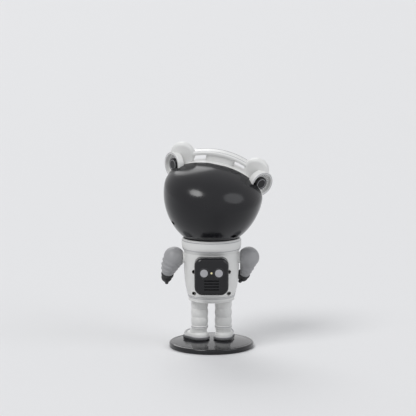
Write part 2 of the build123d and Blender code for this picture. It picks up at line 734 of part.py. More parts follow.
with BuildPart() as neck_retainer:
    with BuildSketch(Plane.XY.offset(bearing_bottom - SEAT_GAP - RETAINER_THICKNESS)):
        Circle(TURNTABLE_HUB + RETAINER_REACH)
        Circle(TURNTABLE_HUB - RETAINER_GROOVE + FIT_GAP, mode=Mode.SUBTRACT)
    extrude(amount=RETAINER_THICKNESS)
finish(neck_retainer, "neck_retainer")

head_floor = SEAT_RADIUS - HEAD_WALL
rocker_cap_radius = ROCKER_PIN + ROCKER_CAP_REACH
rocker_cap_bottom = -sqrt(head_floor**2 - rocker_cap_radius**2) + SEAT_GAP

with BuildPart() as neck_rocker:
    with BuildSketch(on_head(rise=-slot_floor_radius)):
        Circle(ROCKER_RADIUS)
    extrude(amount=2 * ROCKER_THICKNESS)
    with Locations(LEAN_AXIS):
        Cylinder(slot_floor_radius - SEAT_GAP, 4 * ROCKER_RADIUS, mode=Mode.INTERSECT)
    with Locations(CENTRE):
        Sphere(cup_radius, mode=Mode.SUBTRACT)
    with BuildSketch(on_head(rise=-cup_radius - ROCKER_THICKNESS / 2)):
        Circle(ROCKER_PIN)
    extrude(amount=cup_radius + ROCKER_THICKNESS / 2 + rocker_cap_bottom)
    with BuildSketch(on_head(rise=rocker_cap_bottom)):
        Circle(rocker_cap_radius)
    extrude(amount=ROCKER_CAP_THICKNESS)
    with BuildSketch(on_head(rise=-slot_floor_radius)):
        Circle(ROCKER_BORE)
    extrude(amount=slot_floor_radius + rocker_cap_bottom + ROCKER_CAP_THICKNESS, mode=Mode.SUBTRACT)
finish(neck_rocker, "neck_rocker")

# ---------------------------------------------------------------- head shells

def head_outline(inset):
    """Half outline of the head about its own axis: spherical seat, cheek and crown, moved in by inset."""
    CenterArc((0, 0), SEAT_RADIUS - inset, -90, SEAT_ANGLE)
    CenterArc(cheek_centre, cheek_radius - inset, SEAT_ANGLE - 90, 90 - SEAT_ANGLE)
    EllipticalCenterArc((0, widest), HEAD_RADIUS - inset, CROWN_RISE - inset, 0, arc_size=90)
    Line((0, widest + CROWN_RISE - inset), (0, inset - SEAT_RADIUS))


with BuildPart() as head_form:
    with BuildSketch(facing()):
        with BuildLine():
            head_outline(0)
        make_face()
    revolve(axis=HEAD_AXIS)

with BuildPart() as head_space:
    with BuildSketch(facing()):
        with BuildLine():
            head_outline(HEAD_WALL)
        make_face()
    revolve(axis=HEAD_AXIS)

with BuildPart() as head_room:
    with BuildSketch(facing()):
        with BuildLine():
            head_outline(HEAD_WALL + SEAT_GAP)
        make_face()
    revolve(axis=HEAD_AXIS)

spigot = (bezel_half_width - SPIGOT_INSET, bezel_half_height - SPIGOT_INSET)
head_screw_places = ((HEAD_SCREW_SIDE, HEAD_SCREW_DROP), (-HEAD_SCREW_SIDE, HEAD_SCREW_DROP))
chassis_post_places = tuple(
    (side * CHASSIS_POST_SIDE, face_centre + rise * CHASSIS_POST_RISE) for side in (1, -1) for rise in (1, -1)
)

with BuildPart() as rear_posts:
    with BuildSketch(facing(depth=SEAM)):
        with Locations(*head_screw_places):
            Circle(HEAD_BOSS_RADIUS)
    extrude(amount=-HEAD_RADIUS)
    add(head_form.part, mode=Mode.INTERSECT)

with BuildPart() as head_rear:
    add(head_form.part)
    add(head_space.part, mode=Mode.SUBTRACT)
    split(bisect_by=facing(depth=SEAM), keep=Keep.BOTTOM)
    add(rear_posts.part)
    with BuildSketch(facing(depth=SEAM)):
        with Locations(*head_screw_places):
            Circle(SCREW_RADIUS + FIT_GAP)
    extrude(amount=-HEAD_RADIUS, mode=Mode.SUBTRACT)
    with BuildSketch(facing(depth=SEAM + HEAD_SCREW_SEAT)):
        with Locations(*head_screw_places):
            Circle(SCREW_HEAD_RADIUS + JOINT_GAP)
    extrude(amount=-HEAD_RADIUS, mode=Mode.SUBTRACT)
    with BuildSketch(on_head(rise=-SEAT_RADIUS)):
        Circle(ROCKER_PIN + FIT_GAP)
    extrude(amount=SEAT_RADIUS / 2, mode=Mode.SUBTRACT)
finish(head_rear, "head_rear")

with BuildPart() as front_posts:
    with BuildSketch(facing(depth=SEAM)):
        with Locations(*head_screw_places):
            Circle(HEAD_BOSS_RADIUS)
    extrude(amount=HEAD_RADIUS)
    with BuildSketch(facing(depth=CHASSIS_FRONT)):
        with Locations(*chassis_post_places):
            Circle(CHASSIS_POST_RADIUS)
    extrude(amount=HEAD_RADIUS)
    add(head_form.part, mode=Mode.INTERSECT)

with BuildPart() as head_front:
    add(head_form.part)
    add(head_space.part, mode=Mode.SUBTRACT)
    split(bisect_by=facing(depth=SEAM), keep=Keep.TOP)
    add(front_posts.part)
    split(bisect_by=facing(depth=face_plane), keep=Keep.BOTTOM)
    with BuildSketch(facing(depth=face_plane, rise=face_centre)):
        Ellipse(spigot[0] + FIT_GAP, spigot[1] + FIT_GAP)
    extrude(amount=-BEZEL_SPIGOT, mode=Mode.SUBTRACT)
    with BuildSketch(facing(depth=SEAM)):
        with Locations(*head_screw_places):
            Circle(SCREW_RADIUS + FIT_GAP)
    extrude(amount=2 * HEAD_SCREW_SEAT, mode=Mode.SUBTRACT)
    with BuildSketch(facing(depth=CHASSIS_FRONT)):
        with Locations(*chassis_post_places):
            Circle(SCREW_RADIUS + FIT_GAP)
    extrude(amount=HEAD_SCREW_SEAT, mode=Mode.SUBTRACT)
    with BuildSketch(on_head(rise=-SEAT_RADIUS)):
        Circle(ROCKER_PIN + FIT_GAP)
    extrude(amount=SEAT_RADIUS / 2, mode=Mode.SUBTRACT)
finish(head_front, "head_front")

with BuildPart() as head_screws:
    with BuildSketch(facing(depth=SEAM + HEAD_SCREW_SEAT)):
        with Locations(*head_screw_places):
            Circle(SCREW_HEAD_RADIUS)
    extrude(amount=-SCREW_HEAD_HEIGHT)
    with BuildSketch(facing(depth=SEAM + HEAD_SCREW_SEAT)):
        with Locations(*head_screw_places):
            Circle(SCREW_RADIUS)
    extrude(amount=2 * HEAD_SCREW_SEAT)
finish(head_screws, "head_screws")

# ---------------------------------------------------------------- face
bezel_front = face_plane - BEZEL_DEPTH
visor_seat = bezel_front + VISOR_LIP
visor_half_width = bezel_half_width - BEZEL_BORDER
visor_half_height = bezel_half_height - BEZEL_BORDER

with BuildPart() as face_bezel:
    with BuildSketch(facing(depth=face_plane, rise=face_centre)):
        Ellipse(bezel_half_width, bezel_half_height)
    extrude(amount=BEZEL_DEPTH)
    fillet(face_bezel.faces().sort_by(Axis(HEAD.origin, -HEAD.y_dir))[-1].edges(), BEZEL_ROUNDING)
    with BuildSketch(facing(depth=face_plane, rise=face_centre)):
        Ellipse(*spigot)
    extrude(amount=-BEZEL_SPIGOT)
    with BuildSketch(facing(depth=face_plane + BEZEL_SPIGOT, rise=face_centre)):
        Ellipse(visor_half_width + JOINT_GAP, visor_half_height + JOINT_GAP)
    extrude(amount=face_plane + BEZEL_SPIGOT - visor_seat, mode=Mode.SUBTRACT)
    with BuildSketch(facing(depth=visor_seat, rise=face_centre)):
        Ellipse(visor_half_width - WINDOW_LIP, visor_half_height - WINDOW_LIP)
    extrude(amount=VISOR_LIP, mode=Mode.SUBTRACT)
finish(face_bezel, "face_bezel")

dome_half_width = visor_half_width - WINDOW_LIP - JOINT_GAP
visor_sphere = (dome_half_width**2 + VISOR_RISE**2) / (2 * VISOR_RISE)
dome_centre = bezel_front + VISOR_RECESS + sqrt(visor_sphere**2 - dome_half_width**2)

with BuildPart() as visor:
    with BuildSketch(facing(depth=visor_seat, rise=face_centre)):
        Ellipse(dome_half_width, visor_half_height - WINDOW_LIP - JOINT_GAP)
    extrude(amount=4 * VISOR_LIP)
    with Locations(on_head(depth=dome_centre, rise=face_centre)):
        Sphere(visor_sphere, mode=Mode.INTERSECT)
    with BuildSketch(facing(depth=visor_seat, rise=face_centre)):
        Ellipse(visor_half_width, visor_half_height)
    extrude(amount=-VISOR_EDGE)
    with BuildSketch(facing(depth=visor_seat + 2 * VISOR_EDGE, rise=face_centre)):
        Circle(BARREL_RADIUS + JOINT_GAP)
        with Locations((LASER_SIDE, 0)):
            Circle(STAR_WINDOW_RADIUS)
    extrude(amount=8 * VISOR_EDGE, mode=Mode.SUBTRACT)
finish(visor, "visor")

with BuildPart() as star_window:
    with BuildSketch(facing(side=LASER_SIDE, depth=visor_seat, rise=face_centre)):
        Circle(STAR_WINDOW_RADIUS - FIT_GAP)
    extrude(amount=STAR_WINDOW_THICKNESS)
finish(star_window, "star_window")

# ---------------------------------------------------------------- light engine
chassis_back = CHASSIS_FRONT + CHASSIS_THICKNESS
barrel_front = bezel_front - BARREL_REACH
barrel_bore = BARREL_RADIUS - BARREL_WALL

with BuildPart() as lens_barrel:
    with BuildSketch(facing(depth=CHASSIS_FRONT, rise=face_centre)):
        Circle(BARREL_RADIUS)
    extrude(amount=CHASSIS_FRONT - barrel_front)
    chamfer(lens_barrel.faces().sort_by(Axis(HEAD.origin, -HEAD.y_dir))[-1].edges(), 0.6)
    with BuildSketch(facing(depth=CHASSIS_FRONT, rise=face_centre)):
        Circle(BARREL_FLANGE)
    extrude(amount=BARREL_FLANGE_THICKNESS)
    with BuildSketch(facing(depth=CHASSIS_FRONT, rise=face_centre)):
        Circle(barrel_bore - 1)
    extrude(amount=CHASSIS_FRONT - barrel_front, mode=Mode.SUBTRACT)
    with BuildSketch(facing(depth=barrel_front, rise=face_centre)):
        Circle(barrel_bore)
    extrude(amount=-FRONT_LENS_EDGE - FRONT_LENS_RISE - FRONT_LENS_RECESS, mode=Mode.SUBTRACT)
finish(lens_barrel, "lens_barrel")


def lens_outline(radius, edge, rise):
    """Half section of a lens on a sideways plane: flat back on x, bulging to negative y."""
    dome = (radius**2 + rise**2) / (2 * rise)
    Polyline((0, -edge - rise), (0, 0), (radius, 0), (radius, -edge))
    CenterArc((0, dome - edge - rise), dome, -90, degrees(asin(radius / dome)))


def lens_axis(side):
    """The line along a light path, at a side of the face's centre."""
    return Axis(facing(side=side, rise=face_centre).origin, HEAD.y_dir)


lens_seat = barrel_front + FRONT_LENS_EDGE + FRONT_LENS_RISE + FRONT_LENS_RECESS

with BuildPart() as front_lens:
    with BuildSketch(on_head(depth=lens_seat, rise=face_centre)):
        with BuildLine():
            lens_outline(barrel_bore - FIT_GAP, FRONT_LENS_EDGE, FRONT_LENS_RISE)
        make_face()
    revolve(axis=lens_axis(0))
finish(front_lens, "front_lens")

disc_centre = (DISC_OFFSET, 0)
disc_pitch = GEAR_MODULE * DISC_TEETH / 2
pinion_pitch = GEAR_MODULE * PINION_TEETH / 2
shaft_distance = disc_pitch + pinion_pitch + GEAR_BACKLASH
pinion_centre = (
    DISC_OFFSET + shaft_distance * cos(radians(PINION_ANGLE)),
    shaft_distance * sin(radians(PINION_ANGLE)),
)
standoff_places = tuple(
    (DISC_OFFSET + STANDOFF_RING * cos(radians(angle)), STANDOFF_RING * sin(radians(angle)))
    for angle in STANDOFF_ANGLES
)
carrier_front = chassis_back + CARRIER_GAP
carrier_back = carrier_front + CARRIER_THICKNESS
tube_back = carrier_back + LAMP_TUBE_LENGTH
post_places = tuple((side, rise - face_centre) for side, rise in chassis_post_places)
seam_post_places = tuple((side, rise - face_centre) for side, rise in head_screw_places)


def light_plane(depth):
    """Plane across the light path, centred on the face, looking out of it."""
    return facing(depth=depth, rise=face_centre)


with BuildPart() as chassis:
    with BuildSketch(light_plane(chassis_back)):
        RectangleRounded(2 * CHASSIS_HALF_WIDTH, 2 * CHASSIS_HALF_HEIGHT, CHASSIS_HALF_HEIGHT / 2)
    extrude(amount=CHASSIS_THICKNESS)
    add(head_room.part, mode=Mode.INTERSECT)
    with BuildSketch(light_plane(chassis_back)):
        Circle(barrel_bore - 1)
        with Locations((LASER_SIDE, 0)):
            Circle(LASER_RADIUS + FIT_GAP)
        with Locations(disc_centre):
            Circle(SPINDLE_RADIUS + FIT_GAP)
        with Locations(*post_places):
            Circle(SCREW_RADIUS + FIT_GAP)
        with Locations(*seam_post_places):
            Circle(HEAD_BOSS_RADIUS + SEAT_GAP)
    extrude(amount=CHASSIS_THICKNESS, mode=Mode.SUBTRACT)
finish(chassis, "chassis")

with BuildPart() as chassis_screws:
    with BuildSketch(light_plane(chassis_back)):
        with Locations(*post_places):
            Circle(SCREW_HEAD_RADIUS)
    extrude(amount=-SCREW_HEAD_HEIGHT)
    with BuildSketch(light_plane(chassis_back)):
        with Locations(*post_places):
            Circle(SCREW_RADIUS)
    extrude(amount=CHASSIS_THICKNESS + HEAD_SCREW_SEAT - SCREW_RADIUS)
finish(chassis_screws, "chassis_screws")

with BuildPart() as laser_module:
    with BuildSketch(light_plane(CHASSIS_FRONT - LASER_REACH)):
        with Locations((LASER_SIDE, 0)):
            Circle(LASER_RADIUS)
    extrude(amount=-LASER_LENGTH)
    chamfer(laser_module.edges(), 0.5)
    with BuildSketch(light_plane(CHASSIS_FRONT - LASER_REACH)):
        with Locations((LASER_SIDE, 0)):
            Circle(LASER_RADIUS / 2.5)
    extrude(amount=-LASER_REACH, mode=Mode.SUBTRACT)
finish(laser_module, "laser_module")


def gear_outline(teeth, first_angle, centre):
    """Gear outline: root circle and straight-sided teeth, with one tooth at first_angle."""
    pitch = GEAR_MODULE * teeth / 2
    tip = pitch + TOOTH_TIP * GEAR_MODULE
    root = pitch - TOOTH_ROOT * GEAR_MODULE
    with Locations(centre):
        Circle(root)
        with PolarLocations(0, teeth, first_angle):
            Polygon(
                (root - 0.4, -TOOTH_HALF_ROOT),
                (pitch, -TOOTH_HALF_PITCH),
                (tip, -TOOTH_HALF_TIP),
                (tip, TOOTH_HALF_TIP),
                (pitch, TOOTH_HALF_PITCH),
                (root - 0.4, TOOTH_HALF_ROOT),
                align=None,
            )


disc_front = chassis_back + DISC_CLEARANCE
disc_back = disc_front + DISC_THICKNESS

with BuildPart() as ripple_disc:
    with BuildSketch(light_plane(disc_back)):
        gear_outline(DISC_TEETH, PINION_ANGLE, disc_centre)
    extrude(amount=DISC_THICKNESS)
    with BuildSketch(light_plane(carrier_front - SEAT_GAP)):
        with Locations(disc_centre):
            Circle(DISC_HUB_RADIUS)
    extrude(amount=CARRIER_GAP - 2 * SEAT_GAP)
    with BuildSketch(light_plane(carrier_front)):
        with Locations(disc_centre):
            Circle(SPINDLE_RADIUS + FIT_GAP)
    extrude(amount=CARRIER_GAP, mode=Mode.SUBTRACT)
finish(ripple_disc, "ripple_disc")

with BuildPart() as spindle:
    with BuildSketch(light_plane(carrier_back)):
        with Locations(disc_centre):
            Circle(SPINDLE_RADIUS)
    extrude(amount=carrier_back - CHASSIS_FRONT)
    with BuildSketch(light_plane(carrier_back)):
        with Locations(disc_centre):
            Circle(SPINDLE_HEAD)
    extrude(amount=-SCREW_HEAD_HEIGHT)
finish(spindle, "spindle")

with BuildPart() as motor_pinion:
    with BuildSketch(light_plane(disc_back + PINION_SPARE)):
        gear_outline(PINION_TEETH, PINION_ANGLE + 180 + 180 / PINION_TEETH, pinion_centre)
    extrude(amount=DISC_THICKNESS + 2 * PINION_SPARE)
    with BuildSketch(light_plane(carrier_back + SHAFT_LENGTH - SEAT_GAP)):
        with Locations(pinion_centre):
            Circle(SHAFT_RADIUS)
    extrude(amount=carrier_back + SHAFT_LENGTH - disc_front)
finish(motor_pinion, "motor_pinion")

with BuildPart() as gear_motor:
    with BuildSketch(light_plane(carrier_back)):
        with Locations(pinion_centre):
            Circle(MOTOR_RADIUS)
    extrude(amount=-MOTOR_LENGTH)
    chamfer(gear_motor.faces().sort_by(lens_axis(0))[-1].edges(), 0.8)
    with BuildSketch(light_plane(carrier_back)):
        with Locations(pinion_centre):
            Circle(MOTOR_NOSE_RADIUS)
    extrude(amount=CARRIER_THICKNESS)
    with BuildSketch(light_plane(carrier_back + SHAFT_LENGTH)):
        with Locations(pinion_centre):
            Circle(SHAFT_RADIUS + FIT_GAP)
    extrude(amount=SHAFT_LENGTH + CARRIER_THICKNESS, mode=Mode.SUBTRACT)
finish(gear_motor, "gear_motor")

with BuildPart() as lamp_carrier:
    with BuildSketch(light_plane(carrier_back)):
        with Locations(*standoff_places):
            Circle(STANDOFF_RADIUS + CARRIER_MARGIN)
        with Locations(pinion_centre):
            Circle(MOTOR_RADIUS + CARRIER_MARGIN)
        Circle(LAMP_TUBE_RADIUS + CARRIER_MARGIN)
        make_hull()
    extrude(amount=CARRIER_THICKNESS)
    with BuildSketch(light_plane(carrier_back)):
        with Locations(*standoff_places):
            Circle(STANDOFF_RADIUS)
    extrude(amount=CARRIER_THICKNESS + CARRIER_GAP)
    with BuildSketch(light_plane(tube_back)):
        Circle(LAMP_TUBE_RADIUS)
        Circle(LAMP_TUBE_RADIUS - LAMP_TUBE_WALL, mode=Mode.SUBTRACT)
    extrude(amount=LAMP_TUBE_LENGTH)
    with BuildSketch(light_plane(carrier_back)):
        with Locations(*standoff_places):
            Circle(SCREW_RADIUS + FIT_GAP)
    extrude(amount=CARRIER_THICKNESS + CARRIER_GAP, mode=Mode.SUBTRACT)
    with BuildSketch(light_plane(carrier_back)):
        with Locations(pinion_centre):
            Circle(MOTOR_NOSE_RADIUS + FIT_GAP)
        with Locations(disc_centre):
            Circle(SPINDLE_RADIUS + FIT_GAP)
        Circle(LAMP_TUBE_RADIUS - LAMP_TUBE_WALL - 1)
    extrude(amount=CARRIER_THICKNESS, mode=Mode.SUBTRACT)
finish(lamp_carrier, "lamp_carrier")

with BuildPart() as carrier_screws:
    with BuildSketch(light_plane(carrier_back)):
        with Locations(*standoff_places):
            Circle(SCREW_HEAD_RADIUS)
    extrude(amount=-SCREW_HEAD_HEIGHT)
    with BuildSketch(light_plane(carrier_back)):
        with Locations(*standoff_places):
            Circle(SCREW_RADIUS)
    extrude(amount=CARRIER_THICKNESS + CARRIER_GAP - FIT_GAP)
finish(carrier_screws, "carrier_screws")

condenser_radius = LAMP_TUBE_RADIUS - LAMP_TUBE_WALL - FIT_GAP

with BuildPart() as condenser_lens:
    with BuildSketch(on_head(depth=carrier_back + CONDENSER_EDGE + CONDENSER_RISE, rise=face_centre)):
        with BuildLine():
            lens_outline(condenser_radius, CONDENSER_EDGE, CONDENSER_RISE)
        make_face()
    revolve(axis=lens_axis(0))
finish(condenser_lens, "condenser_lens")

with BuildPart() as lamp_board:
    with BuildSketch(light_plane(tube_back + LED_BOARD_THICKNESS)):
        RectangleRounded(LED_BOARD_SIDE, LED_BOARD_SIDE, 2)
    extrude(amount=LED_BOARD_THICKNESS)
finish(lamp_board, "lamp_board")

with BuildPart() as lamp_led:
    with BuildSketch(light_plane(tube_back)):
        Rectangle(2 * LED_RADIUS + 1, 2 * LED_RADIUS + 1)
    extrude(amount=LED_BASE / 2)
    with Locations(light_plane(tube_back - LED_BASE / 2)):
        Sphere(LED_DOME)
    split(bisect_by=light_plane(tube_back), keep=Keep.TOP)
finish(lamp_led, "lamp_led")

sink_front = tube_back + LED_BOARD_THICKNESS
fin_pitch = (LED_BOARD_SIDE - SINK_FIN_THICKNESS) / (SINK_FINS - 1)

with BuildPart() as heat_sink:
    with BuildSketch(light_plane(sink_front)):
        Rectangle(LED_BOARD_SIDE, LED_BOARD_SIDE)
    extrude(amount=-SINK_BASE)
    with BuildSketch(light_plane(sink_front)):
        with GridLocations(fin_pitch, 0, SINK_FINS, 1):
            Rectangle(SINK_FIN_THICKNESS, LED_BOARD_SIDE)
    extrude(amount=-SINK_HEIGHT)
finish(heat_sink, "heat_sink")

# ---------------------------------------------------------------- band, cushion and ears
band_centre = band_top - BAND_RADIUS
band_half_angle = degrees(asin(BAND_REACH / BAND_RADIUS))

with BuildPart() as band:
    with BuildSketch(facing(depth=BAND_DEPTH + BAND_WIDTH / 2)):
        with BuildLine():
            outer = CenterArc((0, band_centre), BAND_RADIUS, 90 - band_half_angle, 2 * band_half_angle)
            inner = CenterArc(
                (0, band_centre), BAND_RADIUS - BAND_THICKNESS, 90 - band_half_angle, 2 * band_half_angle
            )
            Line(outer @ 0, inner @ 0)
            Line(outer @ 1, inner @ 1)
        make_face()
    extrude(amount=BAND_WIDTH)
    long_edges = band.edges().filter_by(GeomType.CIRCLE)
    fillet(long_edges, BAND_THICKNESS * 0.36)
finish(band, "band")

with BuildPart() as band_cushion:
    with BuildSketch(on_head(depth=BAND_DEPTH, rise=widest)):
        SlotOverall(CUSHION_WIDTH, CUSHION_DEPTH)
    extrude(amount=band_top - widest)
    with BuildSketch(facing(depth=BAND_DEPTH + BAND_WIDTH)):
        with Locations((0, band_centre)):
            Circle(BAND_RADIUS - BAND_THICKNESS)
    extrude(amount=2 * BAND_WIDTH, mode=Mode.INTERSECT)
    add(head_form.part, mode=Mode.SUBTRACT)
finish(band_cushion, "band_cushion")


def dish_face(side):
    """Back plane of one ear's dish, looking back and outward."""
    upright = on_head(side * (HEAD_RADIUS - DISH_INSET), DISH_DEPTH, crown + DISH_RISE, Plane.XZ)
    return Plane(upright.location * Rotation(0, 180 - side * DISH_TURN, 0))


for side, name in ((1, "left"), (-1, "right")):
    with BuildPart() as ear:
        with BuildSketch(facing(depth=EAR_DEPTH + EAR_THICKNESS / 2)):
            with Locations((side * (HEAD_RADIUS - EAR_INSET), crown + EAR_RISE)):
                Circle(EAR_RADIUS)
            with Locations((side * (HEAD_RADIUS - EAR_ROOT_INSET), crown + EAR_ROOT_RISE)):
                Circle(EAR_ROOT_RADIUS)
            make_hull()
        extrude(amount=EAR_THICKNESS)
        fillet(ear.edges(), EAR_ROUNDING)
        add(head_form.part, mode=Mode.SUBTRACT)
        add(band.part, mode=Mode.SUBTRACT)
    dish_plane = dish_face(side)
    with BuildPart() as dish:
        with BuildSketch(dish_plane):
            Circle(DISH_RADIUS)
        extrude(amount=DISH_HEIGHT)
        fillet(dish.faces().sort_by(Axis(dish_plane.origin, dish_plane.z_dir))[-1].edges(), DISH_RIM / 2 - 0.1)
        with BuildSketch(dish_plane.offset(DISH_FLOOR)):
            Circle(DISH_RADIUS - DISH_RIM)
        extrude(amount=DISH_HEIGHT, mode=Mode.SUBTRACT)
        add(head_form.part, mode=Mode.SUBTRACT)
    finish(dish, f"{name}_ear_dish")
    with BuildPart() as dish_room:
        with BuildSketch(dish_plane):
            Circle(DISH_RADIUS)
        extrude(amount=2 * DISH_RADIUS)
    with BuildPart() as ear_pad:
        add(ear.part)
        add(dish_room.part, mode=Mode.SUBTRACT)
    finish(ear_pad, f"{name}_ear")

with BuildPart() as ear_bosses:
    for side in (1, -1):
        with BuildSketch(dish_face(side).offset(DISH_FLOOR)):
            Circle(PUCK_RADIUS)
        extrude(amount=PUCK_HEIGHT)
        front = Axis(dish_face(side).origin, dish_face(side).z_dir)
        fillet(ear_bosses.faces().sort_by(front)[-1].edges(), PUCK_ROUNDING)
    add(head_form.part, mode=Mode.SUBTRACT)
finish(ear_bosses, "ear_bosses")

# ---------------------------------------------------------------- back pack and buttons
pack_bottom = HEM_HEIGHT + PACK_RISE
pack_height = TORSO_HEIGHT - PACK_RISE - PACK_TOP_GAP
pack_middle = pack_bottom + pack_height / 2
pack_back = CHEST_RADIUS + PACK_REACH
pack_inner_face = pack_back - PACK_WALL
button_height = pack_bottom + BUTTON_RISE
button_places = ((BUTTON_SPACING / 2, button_height), (-BUTTON_SPACING / 2, button_height))
board_width = PACK_WIDTH - 2 * (PACK_WALL + BOARD_MARGIN)
board_height = pack_height - 2 * (PACK_WALL + BOARD_MARGIN)
board_face = pack_inner_face - BOARD_DEPTH
usb_bottom = pack_bottom + USB_SETBACK
post_side = (board_width / 2 - BOARD_POST_RADIUS, board_height / 2 - BOARD_POST_RADIUS)


def rear_plane(depth):
    """Upright plane behind the figure; sketches on it use X and Z, extruding goes to the front."""
    return Plane.XZ.offset(-depth)


def pack_places():
    """The four posts that hold the control board."""
    return [(side * post_side[0], pack_middle + rise * post_side[1]) for side in (1, -1) for rise in (1, -1)]


with BuildPart() as pack_shell:
    with BuildSketch(rear_plane(pack_back)):
        with Locations((0, pack_middle)):
            RectangleRounded(PACK_WIDTH, pack_height, PACK_CORNER)
    extrude(amount=PACK_REACH + PACK_ROOT)
    fillet(pack_shell.faces().sort_by(Axis.Y)[-1].edges(), PACK_ROUNDING)
    with BuildSketch(rear_plane(pack_inner_face)):
        with Locations((0, pack_middle)):
            RectangleRounded(PACK_WIDTH - 2 * PACK_WALL, pack_height - 2 * PACK_WALL, PACK_CORNER - PACK_WALL)
    extrude(amount=pack_back, mode=Mode.SUBTRACT)
    with BuildSketch(rear_plane(pack_inner_face)):
        with Locations(*pack_places()):
            Circle(BOARD_POST_RADIUS)
    extrude(amount=BOARD_DEPTH)
    add(torso_form.part, mode=Mode.SUBTRACT)
    with BuildSketch(rear_plane(pack_back)):
        with Locations(*button_places):
            Circle(BUTTON_RADIUS + SEAT_GAP)
        with Locations((0, pack_bottom + VENT_RISE)):
            with GridLocations(0, VENT_PITCH, 1, VENT_SLOTS):
                SlotOverall(VENT_LENGTH, VENT_WIDTH)
    extrude(amount=PACK_WALL, mode=Mode.SUBTRACT)
    with BuildSketch(Plane.XY.offset(pack_bottom)):
        with Locations((0, board_face + USB_THICKNESS / 2)):
            RectangleRounded(USB_WIDTH + 2 * JOINT_GAP, USB_THICKNESS + 2 * JOINT_GAP, USB_THICKNESS / 2)
    extrude(amount=PACK_WALL, mode=Mode.SUBTRACT)
finish(pack_shell, "pack_shell")

with BuildPart() as control_board:
    with BuildSketch(rear_plane(board_face)):
        with Locations((0, pack_middle)):
            RectangleRounded(board_width, board_height, BOARD_CORNER)
    extrude(amount=BOARD_THICKNESS)
    with BuildSketch(rear_plane(board_face)):
        with Locations(*button_places):
            Rectangle(SWITCH_SIDE, SWITCH_SIDE)
    extrude(amount=-SWITCH_HEIGHT)
finish(control_board, "control_board")

with BuildPart() as usb_inlet:
    with BuildSketch(Plane.XY.offset(usb_bottom)):
        with Locations((0, board_face + USB_THICKNESS / 2)):
            RectangleRounded(USB_WIDTH, USB_THICKNESS, USB_THICKNESS / 2 - 0.05)
            RectangleRounded(
                USB_WIDTH - 2 * USB_WALL,
                USB_THICKNESS - 2 * USB_WALL,
                USB_THICKNESS / 2 - USB_WALL - 0.05,
                mode=Mode.SUBTRACT,
            )
            Rectangle(USB_WIDTH - 6 * USB_WALL, USB_TONGUE)
    extrude(amount=USB_DEPTH)
    with BuildSketch(Plane.XY.offset(usb_bottom + USB_DEPTH)):
        with Locations((0, board_face + USB_THICKNESS / 2)):
            RectangleRounded(USB_WIDTH, USB_THICKNESS, USB_THICKNESS / 2 - 0.05)
    extrude(amount=USB_WALL * 2)
finish(usb_inlet, "usb_inlet")

for place, name in zip(button_places, ("left", "right")):
    with BuildPart() as button:
        with BuildSketch(rear_plane(pack_back + BUTTON_PROUD)):
            with Locations(place):
                Circle(BUTTON_RADIUS)
        extrude(amount=BUTTON_PROUD + PACK_WALL + JOINT_GAP)
        fillet(button.faces().sort_by(Axis.Y)[-1].edges(), 0.7)
        with BuildSketch(rear_plane(pack_inner_face - JOINT_GAP)):
            with Locations(place):
                Circle(BUTTON_RADIUS + BUTTON_FLANGE_REACH)
        extrude(amount=BUTTON_FLANGE_THICKNESS)
        with BuildSketch(rear_plane(pack_inner_face - JOINT_GAP)):
            with Locations(place):
                Circle(BUTTON_STEM)
        extrude(amount=BOARD_DEPTH - SWITCH_HEIGHT - 2 * JOINT_GAP - BUTTON_TRAVEL)
    finish(button, f"button_{name}")

# ---------------------------------------------------------------- arms
arms = (
    (1, "left", LEFT_ELBOW, LEFT_ELBOW_RADIUS, LEFT_WRIST),
    (-1, "right", RIGHT_ELBOW, RIGHT_ELBOW_RADIUS, RIGHT_WRIST),
)

